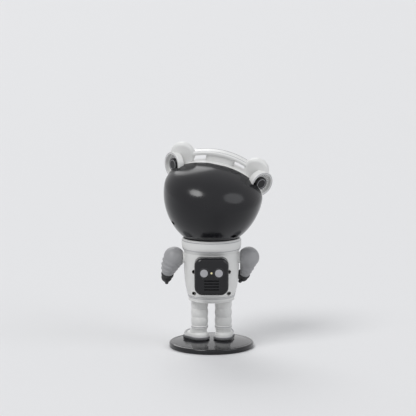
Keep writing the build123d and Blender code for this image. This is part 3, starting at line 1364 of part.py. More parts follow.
for side, name, elbow_place, elbow_radius, wrist_place in arms:
    sleeve_face = Plane.YZ.offset(side * (shoulder_face + SEAT_GAP))
    shoulder = Vector(side * (shoulder_face + SEAT_GAP + SHOULDER_BALL_OFFSET), 0, shoulder_height)
    elbow = shoulder + Vector(*elbow_place)
    wrist = shoulder + Vector(*wrist_place)
    upper_arm = elbow - shoulder
    forearm = wrist - elbow
    hand = Plane(origin=wrist, x_dir=forearm.cross(Vector(0, 1, 0)), z_dir=forearm)

    with BuildPart() as sleeve:
        with BuildSketch(Plane(origin=shoulder, z_dir=upper_arm)):
            Circle(SHOULDER_BALL - SLEEVE_TUCK)
        with BuildSketch(Plane(origin=elbow, z_dir=upper_arm + forearm)):
            Circle(elbow_radius)
        with BuildSketch(hand):
            Circle(WRIST_RADIUS)
        loft()
        with Locations(shoulder):
            Sphere(SHOULDER_BALL)
        split(bisect_by=sleeve_face, keep=Keep.TOP if side > 0 else Keep.BOTTOM)
        with BuildSketch(sleeve_face):
            with Locations((0, shoulder_height)):
                Circle(SHOULDER_PIN + FIT_GAP)
        extrude(amount=side * (SHOULDER_PIN_DEPTH + FIT_GAP), mode=Mode.SUBTRACT)
    finish(sleeve, f"{name}_sleeve")

    with BuildPart() as glove:
        with BuildSketch(hand):
            Circle(GLOVE_CUFF)
        extrude(amount=GLOVE_CUFF_LENGTH)
        fillet(glove.edges(), GLOVE_CUFF_LENGTH / 4)
        with BuildSketch(hand.offset(GLOVE_CUFF_LENGTH / 2)):
            Circle(GLOVE_RADIUS)
        extrude(amount=PALM_LENGTH - GLOVE_CUFF_LENGTH / 2)
        with Locations(hand.offset(PALM_LENGTH)):
            Sphere(GLOVE_RADIUS)
        for number in range(FINGERS):
            across = (number - (FINGERS - 1) / 2) * FINGER_PITCH
            finger = hand.location * Location((0, across, PALM_LENGTH), (0, -side * FINGER_CURL, 0))
            with Locations(finger):
                Cylinder(FINGER_RADIUS, FINGER_LENGTH, align=(Align.CENTER, Align.CENTER, Align.MIN))
            with Locations(finger * Location((0, 0, FINGER_LENGTH))):
                Sphere(FINGER_RADIUS)
        thumb = hand.location * Location((0, GLOVE_RADIUS / 2, GLOVE_CUFF_LENGTH), (-THUMB_SPREAD, 0, 0))
        with Locations(thumb):
            Cylinder(THUMB_RADIUS, THUMB_LENGTH, align=(Align.CENTER, Align.CENTER, Align.MIN))
        with Locations(thumb * Location((0, 0, THUMB_LENGTH))):
            Sphere(THUMB_RADIUS)
        split(bisect_by=hand, keep=Keep.TOP)
    finish(glove, f"{name}_glove")

    with BuildPart() as shoulder_pin:
        with BuildSketch(Plane.YZ.offset(side * (hub_inner - JOINT_GAP))):
            with Locations((0, shoulder_height)):
                Circle(SHOULDER_PIN)
        extrude(amount=side * (shoulder_face + SEAT_GAP + SHOULDER_PIN_DEPTH + JOINT_GAP - hub_inner))
        with BuildSketch(Plane.YZ.offset(side * (hub_inner - JOINT_GAP))):
            with Locations((0, shoulder_height)):
                Circle(SHOULDER_PIN_HEAD)
        extrude(amount=-side * SHOULDER_PIN_HEAD_LENGTH)
    finish(shoulder_pin, f"{name}_shoulder_pin")
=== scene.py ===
# %% [markdown]
# # A star night light: the finished model
# The engineering model already holds every rigid piece in its place. This script loads it as a
# fixed frame, sets a camera and a plain studio round it, gives each piece its finish, and adds the
# small things that a maker sees: seams, treads, vents, screw recesses and the ripples of the disc.

import json
from math import atan, cos, degrees, pi, radians, sin, sqrt

import bmesh
import bpy
from mathutils import Matrix, Vector
from mathutils.bvhtree import BVHTree


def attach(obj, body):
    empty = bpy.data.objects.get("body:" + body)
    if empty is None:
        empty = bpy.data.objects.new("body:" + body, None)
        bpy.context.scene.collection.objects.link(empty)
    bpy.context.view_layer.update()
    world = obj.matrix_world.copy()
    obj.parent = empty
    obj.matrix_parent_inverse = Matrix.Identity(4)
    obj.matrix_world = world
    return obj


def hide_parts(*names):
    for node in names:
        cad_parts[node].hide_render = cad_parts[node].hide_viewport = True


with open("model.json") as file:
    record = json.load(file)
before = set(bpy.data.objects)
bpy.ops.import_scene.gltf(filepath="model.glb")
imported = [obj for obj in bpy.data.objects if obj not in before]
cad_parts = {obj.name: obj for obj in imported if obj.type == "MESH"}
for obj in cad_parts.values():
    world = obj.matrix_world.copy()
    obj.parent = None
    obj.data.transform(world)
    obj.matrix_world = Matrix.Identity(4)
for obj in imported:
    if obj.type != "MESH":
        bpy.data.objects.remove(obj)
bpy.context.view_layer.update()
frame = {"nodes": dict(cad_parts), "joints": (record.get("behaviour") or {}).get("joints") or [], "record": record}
scene = bpy.context.scene
MM = 0.001

# %% [markdown]
# ## The camera
# The lamp is seen from behind, a little above its base, through a long lens, so that upright lines
# stay nearly parallel. The lens follows from the distance and the size the figure has in the frame.

# %% Camera
FRAME_PIXELS = 416
EYE_DISTANCE = 2.5
EYE_HEIGHT = 0.55
FOCUS_PIXELS = 2192.0  # focal length counted in frame pixels
BASE_ROW = 346.0  # row of the frame where the middle of the base stands
BASE_COLUMN = 211.5
SENSOR = 36.0
SIGHT_END = 200.0  # past the far edge of the floor

centre_pixel = FRAME_PIXELS / 2
pitch = atan(EYE_HEIGHT / EYE_DISTANCE) - atan((BASE_ROW - centre_pixel) / FOCUS_PIXELS)
eye_side = (BASE_COLUMN - centre_pixel) * EYE_DISTANCE / FOCUS_PIXELS
camera_data = bpy.data.cameras.new("camera")
camera_data.sensor_width = SENSOR
camera_data.lens = SENSOR * FOCUS_PIXELS / FRAME_PIXELS
camera_data.clip_end = SIGHT_END
camera = bpy.data.objects.new("camera", camera_data)
camera.location = (eye_side, EYE_DISTANCE, EYE_HEIGHT)
camera.rotation_euler = (pi / 2 - pitch, 0, pi)
scene.collection.objects.link(camera)
scene.camera = camera
print("lens mm", round(camera_data.lens, 1), "pitch", round(degrees(pitch), 2))

# %% [markdown]
# ## Light and floor
# Area lamps near a small object make a bright pool on the floor. Sun lamps with a wide angle light
# the floor evenly and still give soft shadows, so the studio is three suns and a plain world. The
# world has its own colour where the camera, a mirror or a lens sees it, so the backdrop stays pale.

# %% World
STUDIO_PALE = (0.79, 0.79, 0.80, 1)
WORLD_TINT = (0.97, 0.985, 1.0, 1)
WORLD_STRENGTH = 0.40

scene.view_settings.view_transform = "Standard"
world = bpy.data.worlds.new("studio")
scene.world = world
world.use_nodes = True
world_nodes = world.node_tree.nodes
world_links = world.node_tree.links
world_nodes.clear()
world_out = world_nodes.new("ShaderNodeOutputWorld")
world_light = world_nodes.new("ShaderNodeBackground")
world_light.inputs["Color"].default_value = WORLD_TINT
world_light.inputs["Strength"].default_value = WORLD_STRENGTH
world_seen = world_nodes.new("ShaderNodeBackground")
world_seen.inputs["Color"].default_value = STUDIO_PALE
world_mix = world_nodes.new("ShaderNodeMixShader")
world_path = world_nodes.new("ShaderNodeLightPath")
seen_share = world_path.outputs["Is Camera Ray"]
for ray in ("Is Glossy Ray", "Is Transmission Ray"):
    either = world_nodes.new("ShaderNodeMath")
    either.operation = "MAXIMUM"
    world_links.new(seen_share, either.inputs[0])
    world_links.new(world_path.outputs[ray], either.inputs[1])
    seen_share = either.outputs[0]
world_links.new(seen_share, world_mix.inputs["Fac"])
world_links.new(world_light.outputs[0], world_mix.inputs[1])
world_links.new(world_seen.outputs[0], world_mix.inputs[2])
world_links.new(world_mix.outputs[0], world_out.inputs[0])
print("world strength", WORLD_STRENGTH)

# %% Suns


def sun(name, direction_from, strength, angle, colour=(1, 1, 1)):
    """A soft sun that shines from a direction towards the figure."""
    data = bpy.data.lights.new(name, "SUN")
    data.energy = strength
    data.angle = radians(angle)
    data.color = colour
    lamp = bpy.data.objects.new(name, data)
    lamp.rotation_euler = (-Vector(direction_from)).to_track_quat("-Z", "Y").to_euler()
    scene.collection.objects.link(lamp)


sun("key_sun", direction_from=(0.8, 1.0, 1.5), strength=1.25, angle=24)
sun("fill_sun", direction_from=(-1.2, 0.7, 0.9), strength=0.55, angle=40, colour=(0.95, 0.97, 1.0))
sun("front_sun", direction_from=(0.3, -1.2, 1.1), strength=0.75, angle=34)

# %% Floor
FLOOR_HALF = 60.0
FLOOR_ROUGHNESS = 0.7
FLOOR_SPECULAR = 0.2

floor_mesh = bpy.data.meshes.new("floor")
floor_corners = [(x * FLOOR_HALF, y * FLOOR_HALF, 0) for x, y in ((-1, -1), (1, -1), (1, 1), (-1, 1))]
floor_mesh.from_pydata(floor_corners, [], [(0, 1, 2, 3)])
floor = bpy.data.objects.new("floor", floor_mesh)
scene.collection.objects.link(floor)
floor_finish = bpy.data.materials.new("floor_finish")
floor_finish.use_nodes = True
floor_shader = floor_finish.node_tree.nodes["Principled BSDF"]
floor_shader.inputs["Base Color"].default_value = STUDIO_PALE
floor_shader.inputs["Roughness"].default_value = FLOOR_ROUGHNESS
floor_shader.inputs["Specular IOR Level"].default_value = FLOOR_SPECULAR
floor_mesh.materials.append(floor_finish)
print("floor half width m", FLOOR_HALF)

# %% [markdown]
# ## Shared surface effects
# Nearly every visible piece is moulded plastic. A mould leaves a faint grain, slow waves where the
# plastic shrank, and handling adds small scuffs and dust. One node group makes all of it, with
# named inputs, so that each finish only says how strong each effect is.

# %% Node helpers


def new_group(name, inputs, outputs):
    """A shader node group with named float, colour or vector sockets."""
    group = bpy.data.node_groups.new(name, "ShaderNodeTree")
    for socket_name, kind, value in inputs:
        made = group.interface.new_socket(name=socket_name, in_out="INPUT", socket_type=kind)
        made.default_value = value
    for socket_name, kind in outputs:
        group.interface.new_socket(name=socket_name, in_out="OUTPUT", socket_type=kind)
    return group


def feed(links, value, socket):
    """Give a socket a plain number, or link it to another socket."""
    if isinstance(value, (int, float)):
        socket.default_value = value
    else:
        links.new(value, socket)


moulded = new_group(
    "moulded_surface",
    [
        ("Colour", "NodeSocketColor", (0.8, 0.8, 0.8, 1)),
        ("Worn Colour", "NodeSocketColor", (0.6, 0.6, 0.6, 1)),
        ("Roughness", "NodeSocketFloat", 0.4),
        ("Grain Scale", "NodeSocketFloat", 900.0),
        ("Grain Height", "NodeSocketFloat", 0.05),
        ("Shrink Waves", "NodeSocketFloat", 0.1),
        ("Scuffs", "NodeSocketFloat", 0.3),
        ("Mottle", "NodeSocketFloat", 0.05),
        ("Dust", "NodeSocketFloat", 0.0),
    ],
    [("Colour", "NodeSocketColor"), ("Roughness", "NodeSocketFloat"), ("Normal", "NodeSocketVector")],
)
g_nodes = moulded.nodes
g_links = moulded.links


def noise(coordinates, scale, detail, roughness):
    """A noise texture in the moulded group; its value."""
    node = g_nodes.new("ShaderNodeTexNoise")
    node.inputs["Detail"].default_value = detail
    node.inputs["Roughness"].default_value = roughness
    g_links.new(coordinates, node.inputs["Vector"])
    feed(g_links, scale, node.inputs["Scale"])
    return node.outputs["Fac"]


def maths(operation, first, second=0.0):
    """A math node in the moulded group, fed by sockets or plain numbers; its value."""
    node = g_nodes.new("ShaderNodeMath")
    node.operation = operation
    feed(g_links, first, node.inputs[0])
    feed(g_links, second, node.inputs[1])
    return node.outputs[0]


print("group", moulded.name)

# %% The moulded surface: its noises
WAVE_SCALE = 38.0
MOTTLE_SCALE = 65.0
SCRATCH_SCALE = 1400.0
SCRATCH_STRETCH = (1.0, 1.0, 0.16)  # long and thin
SCRATCH_TURN = (0.5, 0.8, 0.3)
SCRATCH_FROM = 0.70
SCRATCH_FULL = 0.76

g_in = g_nodes.new("NodeGroupInput").outputs
g_out = g_nodes.new("NodeGroupOutput").inputs
g_place = g_nodes.new("ShaderNodeTexCoord").outputs["Object"]
grain = noise(g_place, g_in["Grain Scale"], detail=2.0, roughness=0.6)
waves = noise(g_place, WAVE_SCALE, detail=1.0, roughness=0.4)
mottle = noise(g_place, MOTTLE_SCALE, detail=4.0, roughness=0.6)
stretch = g_nodes.new("ShaderNodeMapping")
stretch.inputs["Scale"].default_value = SCRATCH_STRETCH
stretch.inputs["Rotation"].default_value = SCRATCH_TURN
g_links.new(g_place, stretch.inputs["Vector"])
scratch = noise(stretch.outputs[0], SCRATCH_SCALE, detail=2.0, roughness=0.5)
scratch_edge = g_nodes.new("ShaderNodeMapRange")
scratch_edge.inputs["From Min"].default_value = SCRATCH_FROM
scratch_edge.inputs["From Max"].default_value = SCRATCH_FULL
g_links.new(scratch, scratch_edge.inputs["Value"])
print("noises ready")

# %% The moulded surface: colour, roughness and normal
ROUGHNESS_SWING = 0.18
WORN_ROUGHNESS = 0.3
LEAST_ROUGHNESS = 0.03
BUMP_DEPTH = 0.0004
MIX_CLEAN, MIX_WORN, MIX_RESULT = 6, 7, 2  # the colour sockets of a Mix node

scratch_mask = maths("MULTIPLY", scratch_edge.outputs[0], g_in["Scuffs"])
mottle_swing = maths("SUBTRACT", mottle, 0.5)
mottle_share = maths("ABSOLUTE", maths("MULTIPLY", mottle_swing, g_in["Mottle"]))
upward = g_nodes.new("ShaderNodeSeparateXYZ")
g_links.new(g_nodes.new("ShaderNodeNewGeometry").outputs["Normal"], upward.inputs[0])
dust_patchy = maths("MULTIPLY", maths("MAXIMUM", upward.outputs["Z"]), mottle)
dust_mask = maths("MULTIPLY", dust_patchy, g_in["Dust"])
worn_share = maths("ADD", maths("ADD", mottle_share, scratch_mask), dust_mask)

worn_mix = g_nodes.new("ShaderNodeMix")
worn_mix.data_type = "RGBA"
g_links.new(worn_share, worn_mix.inputs[0])
g_links.new(g_in["Colour"], worn_mix.inputs[MIX_CLEAN])
g_links.new(g_in["Worn Colour"], worn_mix.inputs[MIX_WORN])
g_links.new(worn_mix.outputs[MIX_RESULT], g_out["Colour"])

rough_base = maths("ADD", g_in["Roughness"], maths("MULTIPLY", mottle_swing, ROUGHNESS_SWING))
rough_worn = maths("ADD", rough_base, maths("MULTIPLY", worn_share, WORN_ROUGHNESS))
g_links.new(maths("MAXIMUM", rough_worn, LEAST_ROUGHNESS), g_out["Roughness"])

grain_height = maths("MULTIPLY", grain, g_in["Grain Height"])
wave_height = maths("MULTIPLY", waves, g_in["Shrink Waves"])
g_bump = g_nodes.new("ShaderNodeBump")
g_bump.inputs["Distance"].default_value = BUMP_DEPTH
g_links.new(maths("ADD", grain_height, wave_height), g_bump.inputs["Height"])
g_links.new(g_bump.outputs["Normal"], g_out["Normal"])
print("group", moulded.name, "with", len(g_nodes), "nodes")

# %% [markdown]
# ## The finishes
# Each finish is one material with its own shader. Colour, roughness and normal come from the group,
# because they change over the surface; the coat, the metallic value and the like are plain numbers
# on the shader, because they are the same everywhere.

# %% How a finish is made
EFFECTS = ("Grain Scale", "Grain Height", "Shrink Waves", "Scuffs", "Mottle", "Dust")
COAT_ROUGHNESS = 0.08
FINISHES = {}


def finish(name, colour, worn_colour, roughness, effects, **shader_values):
    """A material whose surface comes from the moulded group; effects go in the order of EFFECTS."""
    material = bpy.data.materials.new(name)
    material.use_nodes = True
    nodes = material.node_tree.nodes
    links = material.node_tree.links
    shader = nodes["Principled BSDF"]
    surface = nodes.new("ShaderNodeGroup")
    surface.node_tree = moulded
    surface.inputs["Colour"].default_value = (*colour, 1)
    surface.inputs["Worn Colour"].default_value = (*worn_colour, 1)
    surface.inputs["Roughness"].default_value = roughness
    for effect, value in zip(EFFECTS, effects):
        surface.inputs[effect].default_value = value
    links.new(surface.outputs["Colour"], shader.inputs["Base Color"])
    links.new(surface.outputs["Roughness"], shader.inputs["Roughness"])
    links.new(surface.outputs["Normal"], shader.inputs["Normal"])
    shader.inputs["Coat Weight"].default_value = shader_values.get("coat", 0.0)
    shader.inputs["Coat Roughness"].default_value = COAT_ROUGHNESS
    shader.inputs["Metallic"].default_value = shader_values.get("metallic", 0.0)
    shader.inputs["Specular IOR Level"].default_value = shader_values.get("specular", 0.5)
    shader.inputs["Transmission Weight"].default_value = shader_values.get("transmission", 0.0)
    shader.inputs["IOR"].default_value = shader_values.get("ior", 1.5)
    FINISHES[name] = material


print("effects", EFFECTS)

# %% [markdown]
# Clear parts are real glass to the renderer: plain transmission on the shader and hardly any grain,
# so the lens still glints where a lamp finds it.

# %% The finishes themselves
GLOSS = (1500, 0.02, 0.12, 0.08, 0.10, 0.03)
DARK_GLOSS = (1500, 0.015, 0.12, 0.08, 0.12, 0.02)
POLISHED = (1500, 0.004, 0.03, 0.08, 0.2, 0.0)
SATIN = (1100, 0.10, 0.14, 0.15, 0.30, 0.12)
SOFT_TOUCH = (1300, 0.14, 0.12, 0.25, 0.30, 0.10)
KEY_CAP = (1300, 0.05, 0.06, 0.2, 0.3, 0.05)
RUBBER = (800, 0.35, 0.10, 0.20, 0.50, 0.15)
INNER = (900, 0.12, 0.10, 0.20, 0.40, 0.0)
METAL = (1600, 0.08, 0.02, 0.50, 0.60, 0.0)
RESIN = (700, 0.05, 0.02, 0.0, 0.3, 0.0)
GLASS = (700, 0.01, 0.05, 0.05, 0.1, 0.0)
GRAPHITE = (0.009, 0.009, 0.011)
LENS_IOR = 1.49

finish("white_shell", (0.78, 0.78, 0.77), (0.66, 0.65, 0.63), 0.36, GLOSS, coat=0.08, specular=0.42)
finish("graphite_shell", GRAPHITE, (0.03, 0.03, 0.033), 0.18, DARK_GLOSS, coat=0.05, specular=0.34)
finish("black_base", (0.006, 0.006, 0.008), (0.025, 0.025, 0.028), 0.14, DARK_GLOSS, coat=0.2, specular=0.36)
finish("visor_tint", (0.006, 0.006, 0.011), (0.02, 0.02, 0.03), 0.05, POLISHED, coat=1.0)
finish("suit_white", (0.74, 0.74, 0.73), (0.58, 0.57, 0.55), 0.42, SATIN)
finish("sleeve_grey", (0.34, 0.34, 0.35), (0.26, 0.26, 0.27), 0.45, SATIN)
finish("glove_black", (0.018, 0.018, 0.020), (0.05, 0.05, 0.05), 0.50, SOFT_TOUCH)
finish("sole_grey", (0.13, 0.13, 0.135), (0.22, 0.22, 0.22), 0.66, RUBBER)
finish("grip_rubber", (0.018, 0.018, 0.018), (0.05, 0.05, 0.05), 0.80, RUBBER)
finish("button_grey", (0.38, 0.38, 0.40), (0.30, 0.30, 0.31), 0.36, KEY_CAP)
finish("inner_plastic", (0.025, 0.025, 0.028), (0.06, 0.06, 0.06), 0.5, INNER)
finish("inner_white", (0.62, 0.61, 0.58), (0.5, 0.49, 0.46), 0.5, INNER)
finish("steel", (0.56, 0.56, 0.57), (0.38, 0.38, 0.39), 0.32, METAL, metallic=1.0)
finish("aluminium", (0.72, 0.73, 0.75), (0.55, 0.56, 0.57), 0.36, METAL, metallic=1.0)
finish("board_green", (0.02, 0.13, 0.06), (0.05, 0.2, 0.1), 0.35, INNER, coat=0.3)
finish("lamp", (0.85, 0.78, 0.45), (0.8, 0.7, 0.35), 0.3, RESIN)
finish("brass", (0.70, 0.50, 0.22), (0.5, 0.36, 0.18), 0.3, METAL, metallic=1.0)
finish("clear_lens", (0.93, 0.95, 0.97), (0.93, 0.95, 0.97), 0.04, GLASS, transmission=1.0, ior=LENS_IOR)

for entry in frame["record"]["subparts"]:
    node = frame["nodes"][entry["node"]]
    node.data.materials.clear()
    node.data.materials.append(FINISHES[entry["material_slot"]])

# %% [markdown]
# ## Places on the figure
# The added pieces sit on the same places as the engineering model, so the few sizes that set those
# places are repeated here. The head leans and turns in its seat: one matrix carries everything
# on it, and the joint's own record says where that matrix has its middle.

# %% Sizes in millimetres, and the head's own frame
HEAD_RADIUS = 57.0
CROWN_RISE = 32.2
SEAT_RADIUS = 51.2
SEAT_ANGLE = 45.0
SEAM_DEPTH = -4.0
FACE_PLANE = -42.0
NECK_TURN = 28.4
HEAD_TILT = 17.7
HEAD_SPIN = -38.8

head_joint = next(joint for joint in frame["joints"] if joint["name"] == "head_spin")
SIZES = Matrix.Scale(MM, 4)  # turns millimetres into metres
HEAD = (
    Matrix.Translation(head_joint["pos_m"])
    @ Matrix.Rotation(radians(NECK_TURN), 4, "Z")
    @ Matrix.Rotation(radians(-HEAD_TILT), 4, "X")
    @ Matrix.Rotation(radians(HEAD_SPIN), 4, "Z")
    @ SIZES
)
FACING = Matrix.Rotation(radians(90), 4, "X")  # a flat drawing then looks out of the face
BACKWARD = Matrix.Rotation(radians(-90), 4, "X")  # a flat drawing then looks backward

cheek_sine = sin(radians(SEAT_ANGLE))
cheek_radius = (HEAD_RADIUS - SEAT_RADIUS * cheek_sine) / (1 - cheek_sine)
cheek_side = (SEAT_RADIUS - cheek_radius) * cheek_sine
widest = (cheek_radius - SEAT_RADIUS) * cos(radians(SEAT_ANGLE))
crown = widest + CROWN_RISE
opening_top = widest + CROWN_RISE * sqrt(1 - (FACE_PLANE / HEAD_RADIUS) ** 2)
opening_bottom = widest - sqrt(cheek_radius**2 - (-FACE_PLANE - cheek_side) ** 2)
face_centre = (opening_top + opening_bottom) / 2
face_way = (HEAD.to_3x3() @ Vector((0, -1, 0))).normalized()


def on_head(side, depth, rise):
    """A place on the head, its own axes along the head's."""
    return HEAD @ Matrix.Translation((side, depth, rise))


def on_figure(side, depth, height):
    """A place on the standing figure, its axes along the world's."""
    return Matrix.Translation((side * MM, depth * MM, height * MM)) @ SIZES


print("head middle", [round(v, 4) for v in HEAD.translation], "crown", round(crown, 1))

# %% [markdown]
# ## Making pieces
# Every added piece is a mesh whose points already lie where the piece is, so its object stays at
# the origin. One helper gives it its finish and its body; the others make the shapes that
# come again and again: a bead along a line, a form laid over rows of points, and a turned form.

# %% Piece helpers
SHARP_ANGLE = 40.0
BEAD_ROUNDNESS = 3
LEAST_RADIUS = 1e-4  # a turned form never ends in quite a point


def new_piece(name, mesh, body, slot):
    """A finished piece: shaded, dressed, riding on its body."""
    mesh.name = name
    mesh.materials.clear()
    mesh.materials.append(FINISHES[slot])
    piece = bpy.data.objects.new(name, mesh)
    scene.collection.objects.link(piece)
    mesh.set_sharp_from_angle(angle=radians(SHARP_ANGLE))
    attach(piece, body)
    return piece


def mesh_of(maker):
    """The plain mesh that an object with modifiers or bevel has, and the object removed."""
    scene.collection.objects.link(maker)
    bpy.context.view_layer.update()
    depsgraph = bpy.context.evaluated_depsgraph_get()
    mesh = bpy.data.meshes.new_from_object(maker.evaluated_get(depsgraph))
    bpy.data.objects.remove(maker)
    return mesh


def mesh_from(shape, name):
    """A mesh from a bmesh, which is freed."""
    mesh = bpy.data.meshes.new(name)
    shape.to_mesh(mesh)
    shape.free()
    return mesh


def joined(meshes):
    """One mesh from several."""
    shape = bmesh.new()
    for mesh in meshes:
        shape.from_mesh(mesh)
    return mesh_from(shape, "joined")


def bead(name, lines, radius, body, slot, closed=True):
    """A thin round bead along one or more lines of points; radius in millimetres."""
    curve = bpy.data.curves.new(name, "CURVE")
    curve.dimensions = "3D"
    curve.bevel_depth = radius * MM
    curve.bevel_resolution = BEAD_ROUNDNESS
    curve.use_fill_caps = True
    for points in lines:
        spline = curve.splines.new("POLY")
        spline.points.add(len(points) - 1)
        for point, place in zip(spline.points, points):
            point.co = (*place, 1)
        spline.use_cyclic_u = closed
        spline.use_smooth = True
    new_piece(name, mesh_of(bpy.data.objects.new(name, curve)), body, slot)


def circle(place, radius, count=72):
    """Points of a circle about the place's Z axis."""
    turns = (2 * pi * step / count for step in range(count))
    return [place @ Vector((radius * cos(turn), radius * sin(turn), 0)) for turn in turns]


def laid_over(rows, ring=False):
    """A smooth mesh over rows of points that go once round; a ring joins last row to first."""
    shape = bmesh.new()
    corners = [[shape.verts.new(point) for point in row] for row in rows]
    following = corners[1:] + corners[:1] if ring else corners[1:]
    for low, high in zip(corners, following):
        for number, corner in enumerate(low):
            after = (number + 1) % len(low)
            shape.faces.new((corner, low[after], high[after], high[number]))
    if not ring:
        shape.faces.new(corners[0])
        shape.faces.new(corners[-1])
    bmesh.ops.recalc_face_normals(shape, faces=shape.faces)
    for face in shape.faces:
        face.smooth = True
    return mesh_from(shape, "laid_over")


def turned(profile, place, ring=False, steps=48):
    """A mesh turned about the place's Z axis from (radius, height) pairs."""
    rows = []
    for radius, height in profile:
        level = place @ Matrix.Translation((0, 0, height))
        rows.append(circle(level, max(radius, LEAST_RADIUS), steps))
    return laid_over(rows, ring)


def dome(radius, base, rise, angles):
    """The (radius, height) pairs of a flattened dome at the given angles above its edge."""
    return [(radius * cos(radians(angle)), base + rise * sin(radians(angle))) for angle in angles]


print("helpers ready")

# %% [markdown]
# Lines on the suit, the boots and the base follow the surface they lie on. A ray is cast at the
# engineering piece, and the bead is laid where it lands.

# %% Landing points on a node
CAST_REACH = 90.0  # rays start this far out, clear of every piece
CAST_HEIGHT = 30.0  # rays downward start this high above a sole or the floor


def surface_of(*names):
    """A search tree of the named nodes, for casting rays at them."""
    points = []
    faces = []
    for name in names:
        mesh = frame["nodes"][name].data
        first = len(points)
        points += [vertex.co.copy() for vertex in mesh.vertices]
        faces += [tuple(first + number for number in polygon.vertices) for polygon in mesh.polygons]
    return BVHTree.FromPolygons(points, faces)


def landing(surface, start, direction):
    """Where a ray from start lands, or None."""
    return surface.ray_cast(Vector(start), Vector(direction).normalized())[0]


def ring_round(surface, height, count=96):
    """Points round the upright axis where rays cast inward at a height land."""
    starts = circle(on_figure(0, 0, height), CAST_REACH, count)
    return [landing(surface, start, (-start.x, -start.y, 0)) for start in starts]


print("ray reach mm", CAST_REACH)

# %% [markdown]
# ## Head seams and rings
# The head is two half shells. Where they meet there is a fine groove, drawn as a dark bead that is painted shade
# of the groove; round the face the bezel has a shallow raised line, and a bright ring keeps the lens in its
# barrel.

# %% Head parting line
SEAM_BEAD = 0.28
SEAM_SINK = 0.14  # the bead's middle lies this deep; the rest of its radius stands proud
SEAM_START = -52.0  # angle on the seat where the collar no longer hides the seam
SEAM_STEPS = 60


def head_side(share):
    """Radius and rise of the head's outline: 0 at the start of the seam, 1 at the crown."""
    degrees_up = SEAM_START + share * (90 - SEAM_START)
    along = cos(radians(degrees_up))
    up = sin(radians(degrees_up))
    if degrees_up < -SEAT_ANGLE:
        return SEAT_RADIUS * along, SEAT_RADIUS * up
    if degrees_up < 0:
        return cheek_side + cheek_radius * along, widest + cheek_radius * up
    return HEAD_RADIUS * along, widest + CROWN_RISE * up


def seam_points():
    """The line where the head shells meet, up from the collar, over the crown and down again."""
    half = []
    for step in range(SEAM_STEPS):
        radius, rise = head_side(step / SEAM_STEPS)
        if radius > 2 * abs(SEAM_DEPTH):
            half.append((sqrt(radius**2 - SEAM_DEPTH**2) - SEAM_SINK, rise))
    line = [HEAD @ Vector((side, SEAM_DEPTH, rise)) for side, rise in half]
    line += [HEAD @ Vector((-side, SEAM_DEPTH, rise)) for side, rise in reversed(half)]
    return line


# A dark bead along the seam: painted shade of the groove where the head shells meet.
bead("head_seam", [seam_points()], SEAM_BEAD, "head", "inner_plastic", closed=False)
print("seam points", len(seam_points()))

# %% Bezel line and lens ring
BEZEL_FRONT = -47.0
BEZEL_OVERLAP = 0.6  # the bezel covers the edge of the face opening by this much
BEZEL_LINE_INSET = 4.6
LINE_BEAD = 0.4
BARREL_FRONT = -49.6
BARREL_RADIUS = 14.0
BARREL_BORE = 12.2
RING_DEPTH = 1.0
RING_WIDTH = 1.2
RING_CHAMFER = 0.3

line_width = sqrt(HEAD_RADIUS**2 - FACE_PLANE**2) + BEZEL_OVERLAP - BEZEL_LINE_INSET
line_height = (opening_top - opening_bottom) / 2 + BEZEL_OVERLAP - BEZEL_LINE_INSET
bezel_place = on_head(0, BEZEL_FRONT, face_centre) @ FACING
bezel_oval = bezel_place @ Matrix.Diagonal((1, line_height / line_width, 1, 1))
bead("bezel_line", [circle(bezel_oval, line_width, count=96)], LINE_BEAD, "head", "button_grey")

ring_profile = [
    (BARREL_BORE, -RING_DEPTH),
    (BARREL_BORE, -RING_CHAMFER / 2),
    (BARREL_BORE - RING_CHAMFER, 0.0),
    (BARREL_BORE - RING_WIDTH + RING_CHAMFER, 0.0),
    (BARREL_BORE - RING_WIDTH, -RING_CHAMFER),
    (BARREL_BORE - RING_WIDTH, -RING_DEPTH),
]
lens_face = on_head(0, BARREL_FRONT, face_centre) @ FACING
new_piece("lens_ring", turned(ring_profile, lens_face, ring=True, steps=72), "head", "aluminium")
print("bezel line half width", round(line_width, 1))

# %% [markdown]
# ## Copies along a line
# Knurls on the barrel, ribs in the ear dishes, treads on the soles, the pack's louvres and the
# screws are each one small shape repeated along a line. One Geometry Nodes tree does it for all:
# it turns a line of edges into a curve, spaces the copies, stands them up and makes them real.

# %% The tree
RIB_INPUTS = (
    ("Count", "NodeSocketInt"),
    ("Up", "NodeSocketVector"),
    ("Rib", "NodeSocketObject"),
    ("Finish", "NodeSocketMaterial"),
)
rib_tree = bpy.data.node_groups.new("ribs_along_a_line", "GeometryNodeTree")
rib_tree.interface.new_socket(name="Line", in_out="INPUT", socket_type="NodeSocketGeometry")
RIB_SOCKETS = {}
for socket_name, kind in RIB_INPUTS:
    made_socket = rib_tree.interface.new_socket(name=socket_name, in_out="INPUT", socket_type=kind)
    RIB_SOCKETS[socket_name] = made_socket.identifier
rib_tree.interface.new_socket(name="Ribs", in_out="OUTPUT", socket_type="NodeSocketGeometry")

t_nodes = rib_tree.nodes
t_link = rib_tree.links.new
t_in = t_nodes.new("NodeGroupInput").outputs
t_out = t_nodes.new("NodeGroupOutput").inputs
to_curve = t_nodes.new("GeometryNodeMeshToCurve")
spaced = t_nodes.new("GeometryNodeResampleCurve")
spaced.mode = "COUNT"
along_line = t_nodes.new("GeometryNodeInputTangent")
stand = t_nodes.new("FunctionNodeAxesToRotation")
stand.primary_axis = "Z"
stand.secondary_axis = "X"
rib_source = t_nodes.new("GeometryNodeObjectInfo")
placed = t_nodes.new("GeometryNodeInstanceOnPoints")
real = t_nodes.new("GeometryNodeRealizeInstances")
dressed = t_nodes.new("GeometryNodeSetMaterial")
t_link(t_in["Line"], to_curve.inputs["Mesh"])
t_link(to_curve.outputs[0], spaced.inputs["Curve"])
t_link(t_in["Count"], spaced.inputs["Count"])
t_link(t_in["Up"], stand.inputs[0])
t_link(along_line.outputs[0], stand.inputs[1])
t_link(t_in["Rib"], rib_source.inputs["Object"])
